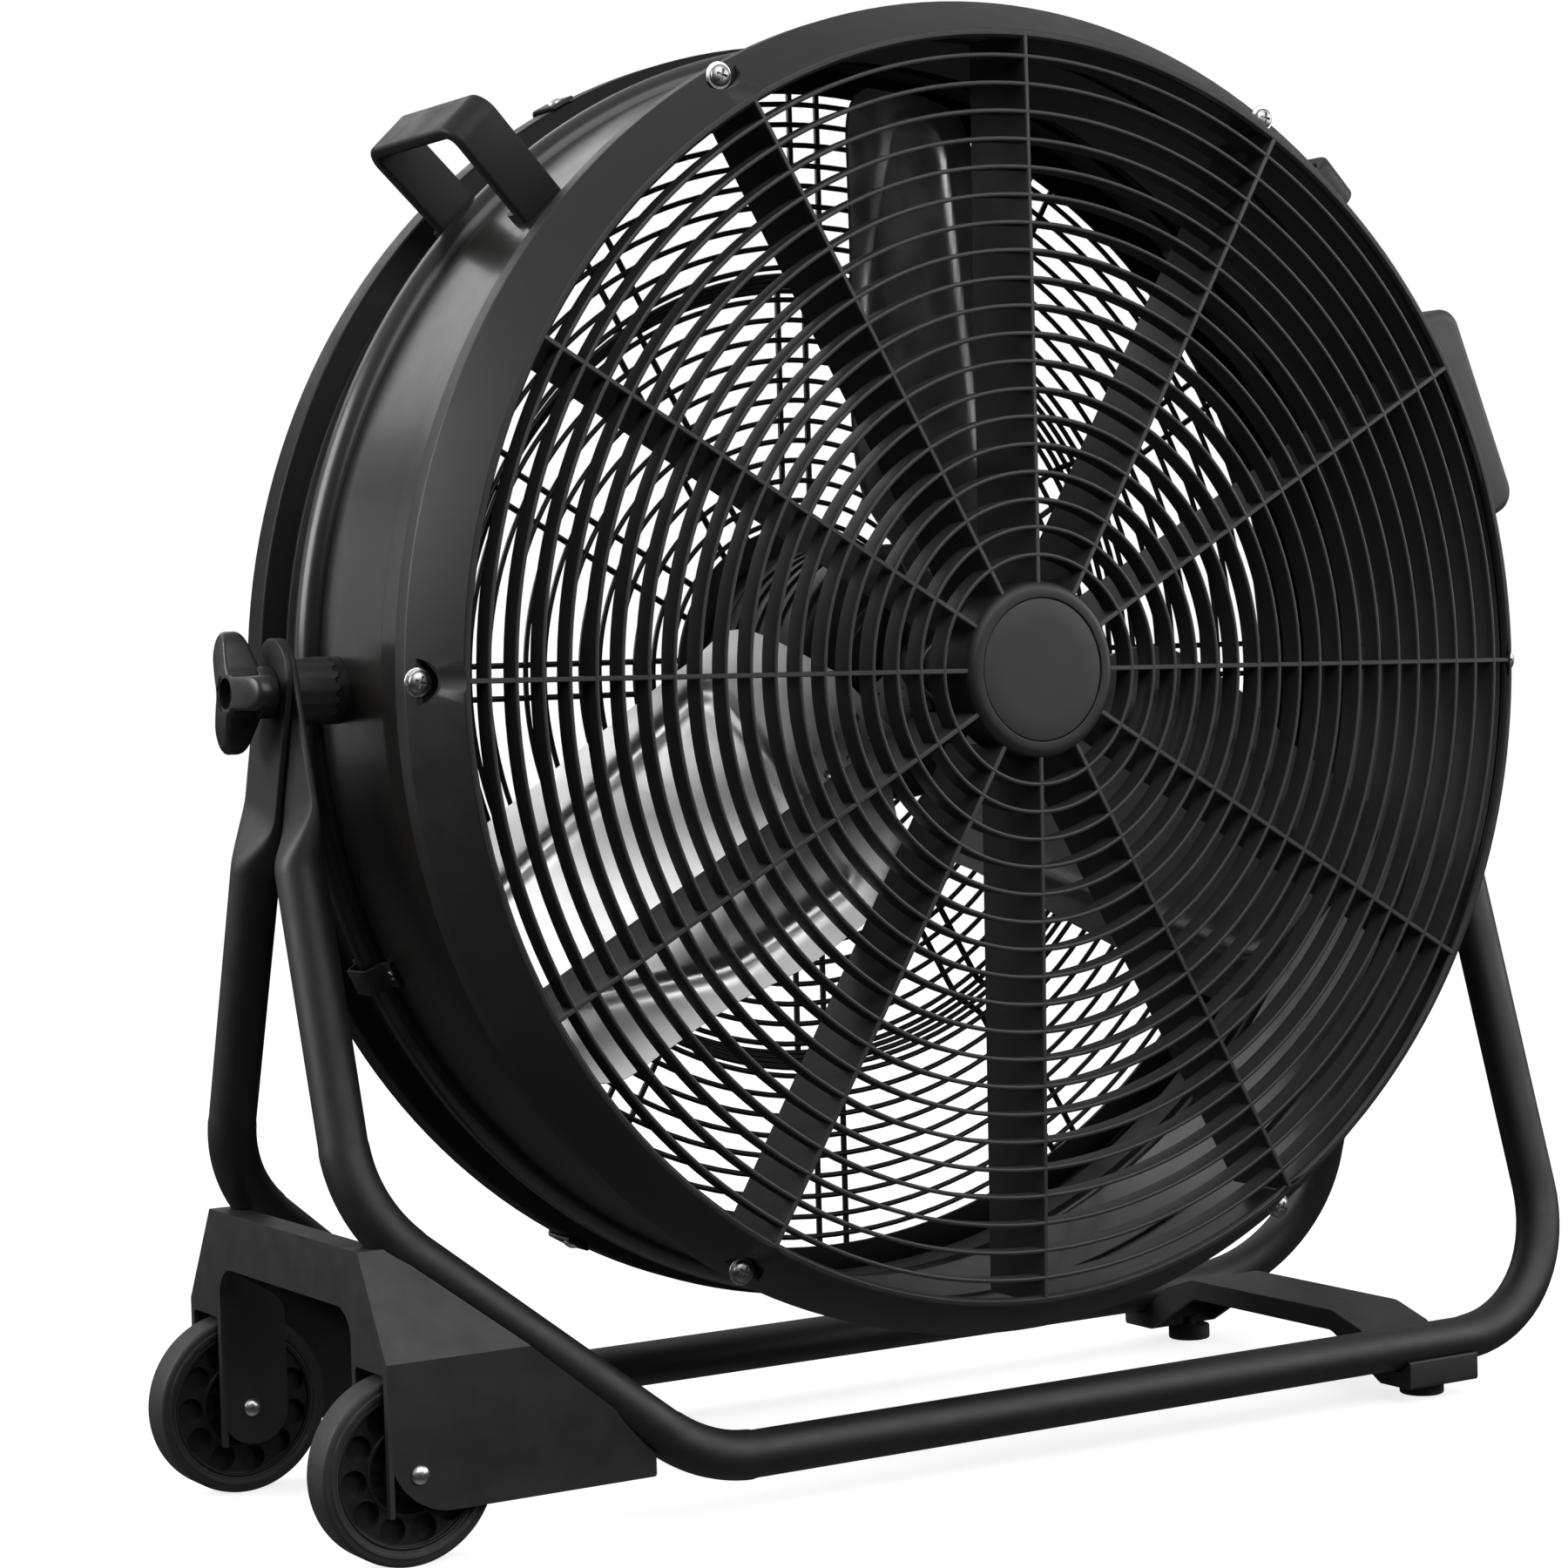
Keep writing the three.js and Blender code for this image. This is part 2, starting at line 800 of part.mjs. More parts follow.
// Motor
const bearingSeat = motor.bearingRadius + boreGap;
const shaftHole = motor.shaftRadius + motor.shaftClearance;
const frontBearingY = motorFrontY + motor.wall + gap;
const rearBearingY = capBackY - motor.wall - gap - motor.bearingWidth;
const motorMiddleY = (frontBearingY + rearBearingY + motor.bearingWidth) / 2;

function motorHousing() {
  const inside = motor.radius - motor.wall;
  const wallBack = motorFrontY + motor.wall;
  const seatBack = frontBearingY + motor.bearingWidth;
  return revolve(
    [
      [shaftHole, motorFrontY],
      [motor.radius - motor.corner, motorFrontY],
      [motor.radius, motorFrontY + motor.corner],
      [motor.radius, capFrontY - gap],
      [inside, capFrontY - gap],
      [inside, wallBack + motor.corner],
      [inside - motor.corner, wallBack],
      [bearingSeat + motor.bearingWall, wallBack],
      [bearingSeat + motor.bearingWall, seatBack],
      [bearingSeat, seatBack],
      [bearingSeat, wallBack],
      [shaftHole, wallBack],
    ],
    24,
  );
}

function motorEndCap() {
  const inside = motor.radius - motor.wall;
  const wallFront = capBackY - motor.wall;
  const cap = revolve(
    [
      [0, wallFront],
      [bearingSeat, wallFront],
      [bearingSeat, rearBearingY],
      [bearingSeat + motor.bearingWall, rearBearingY],
      [bearingSeat + motor.bearingWall, wallFront],
      [inside, wallFront],
      [inside, capFrontY],
      [motor.radius, capFrontY],
      [motor.radius, capBackY],
      [0, capBackY],
    ],
    24,
  );
  return cut(cap, ...motorBoltHoles());
}

function motorBoltHoles() {
  return motor.boltAngles.map((angle) => {
    const hole = pinY(motor.boltRadius + boreGap, capBackY - motor.capLength, guardDiscY, 8);
    return hole.translate(motor.boltCircle, 0, 0).rotateY(-radians(angle));
  });
}

const motorPlate = () =>
  cut(pinY(motor.plateRadius, plateFrontY, plateBackY, 24), ...motorBoltHoles());

// A bolt that clamps the plate to a pair of guard wires with a wide washer.
function motorBolt() {
  const tip = capBackY - motor.wall - 2 * motor.boltRadius;
  const seat = guardDiscY + guard.wire / 2 + gap;
  const top = seat + motor.boltWasherThickness;
  const bolt = revolve(
    [
      [0, tip],
      [motor.boltRadius, tip],
      [motor.boltRadius, seat],
      [motor.boltWasherRadius, seat],
      [motor.boltWasherRadius, top],
      [motor.boltHeadRadius, top],
      [motor.boltHeadRadius, top + motor.boltHeadHeight],
      [0, top + motor.boltHeadHeight],
    ],
    8,
  );
  return bolt;
}

const ringBody = (bore, radius, y0, y1, segments) => revolve(rectangle(bore, y0, radius, y1), segments);

function stator() {
  const half = motor.statorLength / 2;
  const outer = motor.radius - motor.wall - gap;
  return ringBody(motor.statorBore, outer, motorMiddleY - half, motorMiddleY + half, 24);
}

const bearing = () =>
  ringBody(motor.shaftRadius + boreGap, motor.bearingRadius, 0, motor.bearingWidth, 16);

// Rotor
const collarFrontY = bladeY - rotor.collarLength / 2;
const nutFrontY = collarFrontY - gap - rotor.nutLength;

const motorShaft = () =>
  pinY(motor.shaftRadius, nutFrontY - rotor.shaftTip, capBackY - motor.wall - gap, 20);

function rotorCore() {
  const half = motor.coreLength / 2;
  const radius = motor.statorBore - motor.airGap;
  return ringBody(motor.shaftRadius + boreGap, radius, motorMiddleY - half, motorMiddleY + half, 20);
}

// Tips a piece that lies flat round the X axis to the blades' pitch.
const pitched = (geometry) => geometry.rotateX(radians(rotor.pitch)).translate(0, bladeY, 0);

function bladeHub() {
  const half = rotor.collarLength / 2;
  const back = rotor.bladeSheet / 2 + gap;
  const arm = block(
    [motor.shaftRadius + boreGap + rotor.armSheet, back, -rotor.armWidth / 2],
    [rotor.armLength, back + rotor.armSheet, rotor.armWidth / 2],
  );
  const arms = Array.from({ length: rotor.bladeCount }, (_, k) =>
    pitched(arm.clone()).rotateY(-radians(rotor.firstBlade + (360 * k) / rotor.bladeCount)),
  );
  const collar = pinY(rotor.collarRadius, bladeY - half, bladeY + half, 20);
  const bore = pinY(motor.shaftRadius + boreGap, bladeY - half - overrun, bladeY + half + overrun, 20);
  return cut(join(collar, ...arms), bore);
}

// A cambered sheet over the blade's outline, as two faces and the edge between them.
function blade() {
  const secant = 1 / Math.cos(radians(rotor.pitch));
  const rows = bladeShares.length;
  const positions = [];
  for (const side of [-1, 1]) {
    for (const [spanShare, leadShare, trailShare] of bladeShares) {
      for (let j = 0; j <= bladeColumns; j += 1) {
        const across = j / bladeColumns;
        const projected = rotor.lead * leadShare * across - rotor.trail * trailShare * (1 - across);
        const bend = rotor.camber * (projected / rotor.lead) ** 2;
        positions.push(spanShare * tipRadius, (side * rotor.bladeSheet) / 2 - bend, -projected * secant);
      }
    }
  }
  const width = bladeColumns + 1;
  const layer = rows * width;
  const index = [];
  const quad = (a, b, c, d) => index.push(a, c, b, a, d, c);
  for (let i = 0; i < rows - 1; i += 1) {
    for (let j = 0; j < bladeColumns; j += 1) {
      const at = i * width + j;
      quad(at, at + width, at + width + 1, at + 1);
      quad(layer + at, layer + at + 1, layer + at + width + 1, layer + at + width);
    }
    const trailing = i * width;
    const leading = trailing + bladeColumns;
    quad(trailing, layer + trailing, layer + trailing + width, trailing + width);
    quad(leading, leading + width, layer + leading + width, layer + leading);
  }
  for (let j = 0; j < bladeColumns; j += 1) {
    const tip = (rows - 1) * width + j;
    quad(j, j + 1, layer + j + 1, layer + j);
    quad(tip, layer + tip, layer + tip + 1, tip + 1);
  }
  const sheet = new THREE.BufferGeometry();
  sheet.setAttribute("position", new THREE.Float32BufferAttribute(positions, 3));
  sheet.setIndex(index);
  sheet.computeVertexNormals();
  return pitched(sheet);
}

function hubNut() {
  const hexagon = pinY(rotor.nutAcross, nutFrontY, nutFrontY + rotor.nutLength, 6);
  const bore = pinY(motor.shaftRadius + boreGap, nutFrontY - overrun, collarFrontY, 20);
  return cut(hexagon, bore);
}

// Handles
function handleStrap(angle) {
  const edge = handle.edge;
  const w = handle.width / 2;
  const t = handle.thickness / 2;
  const section = roundCorners([[-w, -t, edge], [w, -t, edge], [w, t, edge], [-w, t, edge]], 1);
  const reach = handle.frontInset - t;
  const top = drum.radius + handle.rise - t;
  const line = roundCorners(
    [
      [drum.radius - drum.sheet, -reach],
      [top, -reach - handle.flare, handle.corner],
      [top, reach + handle.flare, handle.corner],
      [drum.radius - drum.sheet, reach],
    ],
    4,
    false,
  );
  const strap = sweep(section, line.map(([x, y]) => new THREE.Vector3(x, y, 0)));
  const footTop = drum.radius + drum.grooveStep + handle.footThickness;
  const inner = drum.radius - drum.sheet;
  const front = block([inner, -reach, -w + edge], [footTop, -reach + t + handle.footLength, w - edge]);
  const rear = block([inner, reach, -w + edge], [footTop, reach + t + handle.footLength, w - edge]);
  return cut(join(strap, front, rear).translate(0, pivot.y, 0), drumRoom(angle + grille.turn));
}

// Control box
const boxTop = drum.radius + box.rise;
const boxBackY = box.frontY + box.length;
const capacitorZ = box.width / 2 - box.capacitorInset;
const glandZ = box.glandInset - box.width / 2;

// The box's section: wider at the drum, with round outer corners.
function boxOutline(inset) {
  const root = drum.radius - box.rise;
  return roundCorners(
    [
      [root, -box.rootWidth / 2 + inset],
      [boxTop - inset, -box.width / 2 + inset, box.corner - inset],
      [boxTop - inset, box.width / 2 - inset, box.corner - inset],
      [root, box.rootWidth / 2 - inset],
    ],
    3,
  );
}

function controlBox() {
  const shell = plateXZ(boxOutline(0), box.frontY, box.length);
  const hollow = plateXZ(boxOutline(box.wall), box.frontY + box.wall, box.length - 2 * box.wall);
  const middle = (box.frontY + boxBackY) / 2;
  const stemHole = pin(box.stemRadius + boreGap, boxTop - overrun, boxTop + overrun);
  const glandBore = box.glandRadius - box.glandFlange + boreGap;
  const glandHole = pinY(glandBore, boxBackY - overrun, boxBackY + overrun);
  return cut(
    shell,
    hollow,
    drumRoom(box.angle + grille.turn),
    stemHole.translate(0, middle, 0),
    glandHole.translate(drum.radius + box.glandRise, 0, glandZ),
  );
}

function speedSwitch() {
  const half = box.switchWidth / 2;
  const middle = (box.frontY + boxBackY) / 2;
  const top = boxTop - box.wall - gap;
  const body = block([top - box.switchHeight, middle - half, -half], [top, middle + half, half]);
  const stemHole = pin(box.stemRadius + boreGap, top - box.switchHeight / 2, top + overrun);
  return cut(body, stemHole.translate(0, middle, 0));
}

const capacitor = () =>
  pinY(box.capacitorRadius, box.frontY + box.wall + gap, box.frontY + box.wall + box.capacitorLength, 16);

// A fluted knob with a pointer edge and a stem into the switch.
function speedKnob() {
  const base = boxTop + gap;
  const top = base + box.knobHeight;
  const stem = pin(box.stemRadius, base - box.wall - box.switchHeight / 3, base + overrun);
  const flutes = 12;
  const outline = Array.from({ length: 2 * flutes }, (_, k) => {
    const radius = box.knobRadius - (k % 2) * box.knobLead * 2;
    const angle = (Math.PI * k) / flutes;
    return [radius * Math.cos(angle), radius * Math.sin(angle)];
  });
  const body = plateYZ(outline, base, top - base);
  const pointer = block(
    [top - box.knobLead, -box.knobRadius + box.knobLead, -2 * box.knobLead],
    [top + box.knobLead, 0, 2 * box.knobLead],
  );
  return join(body, stem, pointer);
}

function cordGland() {
  const neck = box.glandRadius - box.glandFlange;
  const inside = boxBackY - box.wall - box.glandFlange;
  const flangeY = boxBackY + gap;
  return revolve(
    [
      [neck - box.wall, inside],
      [neck, inside],
      [neck, flangeY],
      [box.glandRadius, flangeY],
      [box.glandRadius, flangeY + box.glandFlange],
      [neck, flangeY + box.glandLength],
      [neck - box.wall, flangeY + box.glandLength],
    ],
    16,
  );
}

// A strap over the bead with a foot on each side of it.
function leadClipBody() {
  const facet = drum.radius * (1 - Math.cos(Math.PI / drum.segments));
  const low = drum.radius - facet + leadClip.thickness;
  const high = drum.radius + drum.beadHeight + leadClip.headroom + leadClip.thickness;
  const half = drum.beadHalfWidth + leadClip.thickness;
  const line = [
    [low, -half - leadClip.foot],
    [low, -half],
    [high, -half + leadClip.thickness],
    [high, half - leadClip.thickness],
    [low + drum.grooveStep, half],
    [low + drum.grooveStep, half + leadClip.foot],
  ];
  const strap = plateXY(thicken(line, leadClip.thickness), leadClip.width).translate(0, drum.beadY, 0);
  return cut(strap, drumRoom(leadClip.angle));
}

// Tilt pivots, drawn for the right side and mirrored for the left
const toothTipX = drum.radius + gap + pivot.bossLength + pivot.toothHeight;
const knobX = plateOuterX + gap + pivot.collarLength;

// A ring along X whose far end is a crown of teeth; a negative height turns them to the near end.
function toothedRing(bore, radius, rootX, endX, height) {
  const ring = revolve(rectangle(bore, rootX, radius, endX), 2 * pivot.toothCount);
  const position = ring.getAttribute("position");
  const perStation = 5;
  const crownX = height > 0 ? endX : rootX;
  for (let i = 0; i < position.count; i += 1) {
    const station = Math.floor(i / perStation) % 2;
    if (station === 1 && Math.abs(position.getY(i) - crownX) < gap) {
      position.setY(i, crownX - height);
    }
  }
  return ring.rotateZ(-Math.PI / 2);
}

// The drum's boss: a spigot through the drum's wall and a crown of teeth.
function pivotBoss() {
  const bore = pivot.boltRadius + boreGap;
  const inside = drum.radius - drum.sheet - pivot.spigotLength;
  const crown = toothedRing(bore, pivot.bossRadius, drum.radius - overrun, toothTipX, pivot.toothHeight);
  const seated = cut(crown.translate(0, pivot.y, 0), drumRoom()).translate(0, -pivot.y, 0);
  const spigot = revolveX(rectangle(bore, inside, pivot.spigotRadius, toothTipX - pivot.toothHeight), 16);
  return join(seated, spigot);
}

// The stand's spacer: a crown that faces the boss, and a plain end on the tube plates.
function pivotSpacer() {
  const tip = toothTipX + pivot.toothGap;
  const bore = pivot.boltRadius + boreGap;
  return toothedRing(bore, pivot.bossRadius, tip, plateInnerX - gap, -pivot.toothHeight);
}

// A star-shaped clamp knob with its collar and its bolt.
function tiltKnob() {
  const tip = drum.radius - drum.sheet - pivot.spigotLength + pivot.boltEnd;
  const steps = 12 * pivot.lobeCount;
  const outline = Array.from({ length: steps }, (_, k) => {
    const angle = (2 * Math.PI * k) / steps;
    const radius = pivot.knobRadius + pivot.knobLobe * Math.cos(pivot.lobeCount * angle);
    return [-radius * Math.cos(angle), radius * Math.sin(angle)];
  });
  const end = knobX + pivot.knobDepth;
  const tipRing = pivot.knobRadius + pivot.knobLobe + gap;
  const dome = revolveX(
    [
      [0, knobX],
      [pivot.collarRadius, knobX],
      [tipRing, end - pivot.knobDroop - pivot.knobArm],
      [tipRing, end - pivot.knobDroop],
      [pivot.collarRadius, end],
      [0, end],
    ],
    24,
  );
  const star = common(plateYZ(outline, knobX, pivot.knobDepth), dome);
  const shank = revolveX(
    [
      [0, tip],
      [pivot.boltRadius, tip],
      [pivot.boltRadius, plateOuterX + gap],
      [pivot.collarRadius, plateOuterX + gap],
      [pivot.collarRadius, knobX + gap],
      [0, knobX + gap],
    ],
    16,
  );
  return cut(join(star, shank), pin(pivot.recessRadius, end - pivot.recessDepth, end + overrun, 6));
}

// Stand tubes, drawn in the plane of the tube with the pivot axis at its origin
const slant = 1 / Math.cos(legTilt);
const tubeTopZ = -stand.endBottom - stand.taperLength;

function tubeRoute() {
  const base = -baseDrop * slant;
  return roundCorners(
    [
      [-legX, tubeTopZ],
      [-legX, -leftCornerDrop * slant, stand.leftBend],
      [-legX + stand.leftCornerInset, base, stand.leftBend],
      [legX, base, stand.rightBend],
      [legX, tubeTopZ],
    ],
    stand.bendSteps,
    false,
  ).map(([x, z]) => new THREE.Vector3(x, 0, z));
}

// The squashed end of a leg: a taper from round to flat, and a plate with a round top.
function tubeEnd(side, innerX) {
  const middle = innerX + stand.endSheet / 2;
  const taper = mergeVertices(new THREE.CylinderGeometry(1, 1, stand.taperLength, stand.tubeSides));
  taper.rotateX(Math.PI / 2).rotateZ(Math.PI / stand.tubeSides);
  const position = taper.getAttribute("position");
  for (let i = 0; i < position.count; i += 1) {
    const flat = position.getZ(i) > 0;
    const halfX = flat ? stand.endSheet / 2 : stand.tubeRadius;
    const halfY = flat ? stand.endHalfWidth : stand.tubeRadius;
    const x = (flat ? middle - legX : 0) + position.getX(i) * halfX;
    const y = position.getY(i) * halfY;
    position.setXY(i, x, y);
  }
  taper.translate(legX, 0, tubeTopZ + stand.taperLength / 2);
  const radius = stand.endHalfWidth;
  const plate = plateYZ(
    roundCorners(
      [
        [-radius, -stand.endBottom - gap],
        [radius, -stand.endBottom - gap],
        [radius, stand.endTop, radius - gap],
        [-radius, stand.endTop, radius - gap],
      ],
      4,
    ),
    innerX,
    stand.endSheet,
  );
  const hole = pin(pivot.boltRadius + boreGap, innerX - overrun, innerX + stand.endSheet + overrun, 12);
  const end = cut(join(taper, plate), hole);
  return side > 0 ? end : mirrored(end, -1, 1, 1);
}

function standTube(innerX) {
  const tube = sweep(circle(stand.tubeRadius, stand.tubeSides), tubeRoute());
  return join(tube, tubeEnd(1, innerX), tubeEnd(-1, innerX));
}

// The room that a tube takes, leaning forward or back from the pivots.
function tubeRoom(lean) {
  const room = sweep(circle(stand.tubeRadius + gap, stand.tubeSides), tubeRoute());
  return room.rotateX(-lean * legTilt);
}

// Cross bar: an arched channel that cradles both base tubes
function crossBar() {
  const end = baseSpread + stand.tubeRadius + bar.overhang;
  const saddle = end - bar.saddleLength;
  const crown = end - bar.crownRun;
  const shoulder = end - bar.shoulderRun;
  const low = -baseDrop - bar.saddleDrop;
  const ledge = -baseDrop - bar.saddleRise;
  const half = [
    [-end, low],
    [-end, ledge],
    [-end + bar.saddleLength, ledge],
    [-shoulder, -baseDrop + bar.shoulderDrop],
    [-crown, -baseDrop + bar.crownRise],
  ];
  const other = half.map(([y, z]) => [-y, z]).reverse();
  const body = plateYZ([...half, ...other], barX - bar.width / 2, bar.width);
  const arch = [
    [-saddle, low - overrun],
    [-saddle, ledge - bar.sheet],
    [-shoulder + bar.sheet, -baseDrop + bar.shoulderDrop - bar.sheet],
    [-crown + bar.sheet, -baseDrop + bar.crownRise - bar.sheet],
  ];
  const farArch = arch.map(([y, z]) => [-y, z]).reverse();
  const innerWidth = bar.width - 2 * bar.sheet;
  const hollow = plateYZ([...arch, ...farArch], barX - innerWidth / 2, innerWidth);
  const skirt = [
    [-saddle, low - overrun],
    [-saddle, low],
    [-crown, -baseDrop + bar.crownRise - bar.flange],
  ];
  const farSkirt = skirt.map(([y, z]) => [-y, z]).reverse();
  const under = plateYZ([...skirt, ...farSkirt], barX - bar.width, 2 * bar.width);
  const holes = [-1, 1].map((side) =>
    pin(foot.spigotRadius + boreGap, low - overrun, low + foot.spigotLength + gap)
      .rotateY(-Math.PI / 2)
      .translate(footX, side * footSpread, 0),
  );
  return cut(body, hollow, under, tubeRoom(1), tubeRoom(-1), ...holes);
}

// A rubber foot with a spigot into the bar.
function footBody() {
  const top = -baseDrop - bar.saddleDrop - gap;
  return revolve(
    [
      [0, -floorDrop],
      [foot.radius - foot.edge, -floorDrop],
      [foot.radius, -floorDrop + foot.edge],
      [foot.radius, top],
      [foot.spigotRadius, top],
      [foot.spigotRadius, top + foot.spigotLength],
      [0, top + foot.spigotLength],
    ],
    16,
  ).rotateX(Math.PI / 2);
}

// Wheel housing: a sheet bent round both wheels, symmetric front to back
const housingX = -legX - housing.wallInset;
const bayInnerY = shell.halfDepth - shell.sheet - shell.bay;

function housingWall() {
  const d = shell;
  const top = d.halfDepth - d.topInset;
  const notch = wheel.tread / 2 + d.notchClearance;
  const notchTop = -axleDrop + wheel.radius + d.notchClearance / 2;
  const wall = plateYZ(
    [
      [-top, -d.topDrop],
      [-d.halfDepth, -d.creaseDrop],
      [-d.halfDepth, -d.bottomDrop],
      [d.halfDepth, -d.bottomDrop],
      [d.halfDepth, -d.creaseDrop],
      [top, -d.topDrop],
    ],
    housingX,
    d.sheet,
  );
  const window = bayInnerY - d.sheet;
  const tools = [
    plateYZ(
      roundCorners(
        [
          [-window, -floorDrop],
          [window, -floorDrop],
          [window, -d.windowDrop, d.windowCorner],
          [-window, -d.windowDrop, d.windowCorner],
        ],
        3,
      ),
      housingX - overrun,
      d.sheet + 2 * overrun,
    ),
  ];
  for (const side of [-1, 1]) {
    const middle = side * wheelSpread;
    const near = [housingX - overrun, middle - notch, -floorDrop];
    const far = [housingX + d.sheet + overrun, middle + notch, notchTop];
    tools.push(block(near, far));
  }
  return cut(wall, ...tools);
}

// The line in X and Z below the slanted tube's middle, where the panels end.
const trimSlope = (baseDrop - leftCornerDrop) / stand.leftCornerInset;
const trimStart = leftCornerDrop + housing.tubeShow;
const trimDrop = (x) => trimStart + (x + legX) * trimSlope;
const trimX = (drop) => (drop - trimStart) / trimSlope - legX;

// The panel below the crease on one side, in X and Z, with its round corner by the wheel.
function housingPanel() {
  const d = shell;
  return plateXZ(
    roundCorners(
      [
        [housingX, -d.creaseDrop],
        [housingX, -d.bottomDrop, d.corner],
        [-d.rightX, -d.bottomDrop],
        [-d.rightX, -trimDrop(-d.rightX), d.rightCorner],
        [trimX(d.creaseDrop), -d.creaseDrop],
      ],
      4,
    ),
    -d.halfDepth,
    d.sheet,
  );
}

// The panel above the crease, tilted back to the top.
function housingSlope() {
  const d = shell;
  const rise = d.creaseDrop - d.topDrop;
  const length = Math.hypot(rise, d.topInset);
  const sheet = plateXZ(rectangle(housingX, 0, -d.rightX, length), 0, d.sheet);
  const slope = sheet.rotateX(-Math.atan2(d.topInset, rise)).translate(0, -d.halfDepth, -d.creaseDrop);
  return cut(slope, overTube());
}

// The inner cheek that carries the axle's other end.
function housingCheek() {
  const d = shell;
  return plateXZ(
    roundCorners(
      [
        [housingX, -d.windowDrop],
        [housingX, -d.bottomDrop, d.cheekCorner],
        [housingX + d.cheekReach, -d.bottomDrop, d.cheekCorner],
        [housingX + d.cheekReach, -d.creaseDrop, d.cheekCorner],
        [housingX + d.sheet, -d.windowDrop],
      ],
      3,
    ),
    -bayInnerY,
    d.sheet,
  );
}

// What lies above the slanted tube's lower side, as a body that trims the tilted panels.
function overTube() {
  const line = [
    [-legX, -trimDrop(-legX)],
    [0, -trimDrop(0)],
  ];
  return plateXZ([...line, [0, 0], [-legX, 0]], -baseSpread * 2, baseSpread * 4);
}

function wheelHousing() {
  const d = shell;
  const top = d.halfDepth - d.topInset;
  const halves = [housingPanel(), housingSlope(), housingCheek()];
  const flange = block([housingX, -top, -d.topDrop - d.sheet], [housingX + d.topFlange, top, -d.topDrop]);
  const mirroredHalves = halves.map((half) => mirrored(half, 1, -1, 1));
  const axleHole = pinY(wheel.axleRadius + boreGap, -d.halfDepth - overrun, d.halfDepth + overrun);
  return cut(
    join(...halves, ...mirroredHalves, housingWall(), flange),
    tubeRoom(1),
    tubeRoom(-1),
    axleHole.translate(-wheelX, 0, -axleDrop),
  );
}

// Axle: a rivet through the outer panel and the cheek.
function axle() {
  const outer = -shell.halfDepth - gap;
  const inner = -bayInnerY + housing.sheet + gap;
  const half = wheel.headHeight / 2;
  return revolve(
    [
      [0, outer - wheel.headHeight],
      [wheel.headRadius / 2, outer - wheel.headHeight],
      [wheel.headRadius, outer - half],
      [wheel.headRadius, outer],
      [wheel.axleRadius, outer],
      [wheel.axleRadius, inner],
      [wheel.headRadius, inner],
      [wheel.headRadius, inner + half],
      [wheel.headRadius / 2, inner + wheel.headHeight],
      [0, inner + wheel.headHeight],
    ],
    12,
  );
}

// Tyre with rounded shoulders
function tyre() {
  const half = wheel.tread / 2;
  const rim = wheel.rimWidth / 2;
  return revolve(
    [
      [wheel.rimRadius + gap, -rim],
      [wheel.radius - wheel.shoulder, -half],
      [wheel.radius, -half + wheel.shoulder],
      [wheel.radius, half - wheel.shoulder],
      [wheel.radius - wheel.shoulder, half],
      [wheel.rimRadius + gap, rim],
    ],
    28,
  );
}

// Wheel hub: boss, web and rim
function wheelHub() {
  const rim = wheel.rimWidth / 2;
  const boss = wheel.bossWidth / 2;
  const web = wheel.webThickness / 2;
  const bore = wheel.axleRadius + boreGap;
  const rimInner = wheel.rimRadius - wheel.webThickness;
  return revolve(
    [
      [bore, -boss],
      [wheel.bossRadius, -boss],
      [wheel.bossRadius, -web],
      [rimInner, -web],
      [rimInner, -rim],
      [wheel.rimRadius, -rim],
      [wheel.rimRadius, rim],
      [rimInner, rim],
      [rimInner, web],
      [wheel.bossRadius, web],
      [wheel.bossRadius, boss],
      [bore, boss],
    ],
    16,
  );
}

// Assembly: the pivot axis runs along X through the origin of this group
const assembly = new THREE.Group();
const head = new THREE.Group();
head.position.y = -pivot.y;
assembly.add(head);

piece(head, "drum_shell", drumShell(), paint);
const turned = new THREE.Group();
turned.rotation.y = -radians(grille.turn);
head.add(turned);
piece(turned, "front_grille", frontGrille(), plastic);
piece(turned, "hub_badge", hubBadge(), plastic);
for (let k = 0; k < grilleScrew.count; k += 1) {
  const arm = outward(turned, (360 * k) / grilleScrew.count);
  const screw = piece(arm, `grille_screw_${k + 1}`, grilleScrewBody(), zinc);
  screw.position.y = drumFrontY + grilleScrew.inset;
}
piece(head, "rear_guard", rearGuard(), paint);
guardClip.angles.forEach((angle, k) => {
  piece(outward(head, angle), `guard_clip_${k + 1}`, guardClipBody(), zinc);
});
piece(head, "motor_plate", motorPlate(), blackSteel);
motor.boltAngles.forEach((angle, k) => {
  const bolt = piece(outward(head, angle), `motor_bolt_${k + 1}`, motorBolt(), zinc);
  bolt.position.x = motor.boltCircle;
});
piece(head, "motor_housing", motorHousing(), blackSteel);
piece(head, "motor_end_cap", motorEndCap(), blackSteel);
piece(head, "stator", stator(), copper);
piece(head, "bearing_front", bearing(), steel).position.y = frontBearingY;
piece(head, "bearing_rear", bearing(), steel).position.y = rearBearingY;

const boxArm = outward(turned, box.angle);
piece(boxArm, "control_box", controlBox(), plastic);
piece(boxArm, "speed_switch", speedSwitch(), plastic);
const canister = piece(boxArm, "run_capacitor", capacitor(), aluminium);
canister.position.set(drum.radius + box.glandRise, 0, capacitorZ);
const gland = piece(boxArm, "cord_gland", cordGland(), rubber);
gland.position.set(drum.radius + box.glandRise, 0, glandZ);
const knob = piece(boxArm, "speed_knob", speedKnob(), plastic);
knob.position.y = (box.frontY + boxBackY) / 2;

["right", "left"].forEach((side, k) => {
  piece(outward(turned, handle.angles[k]), `handle_${side}`, handleStrap(handle.angles[k]), plastic);
});
piece(outward(head, leadClip.angle), "lead_clip", leadClipBody(), blackSteel);

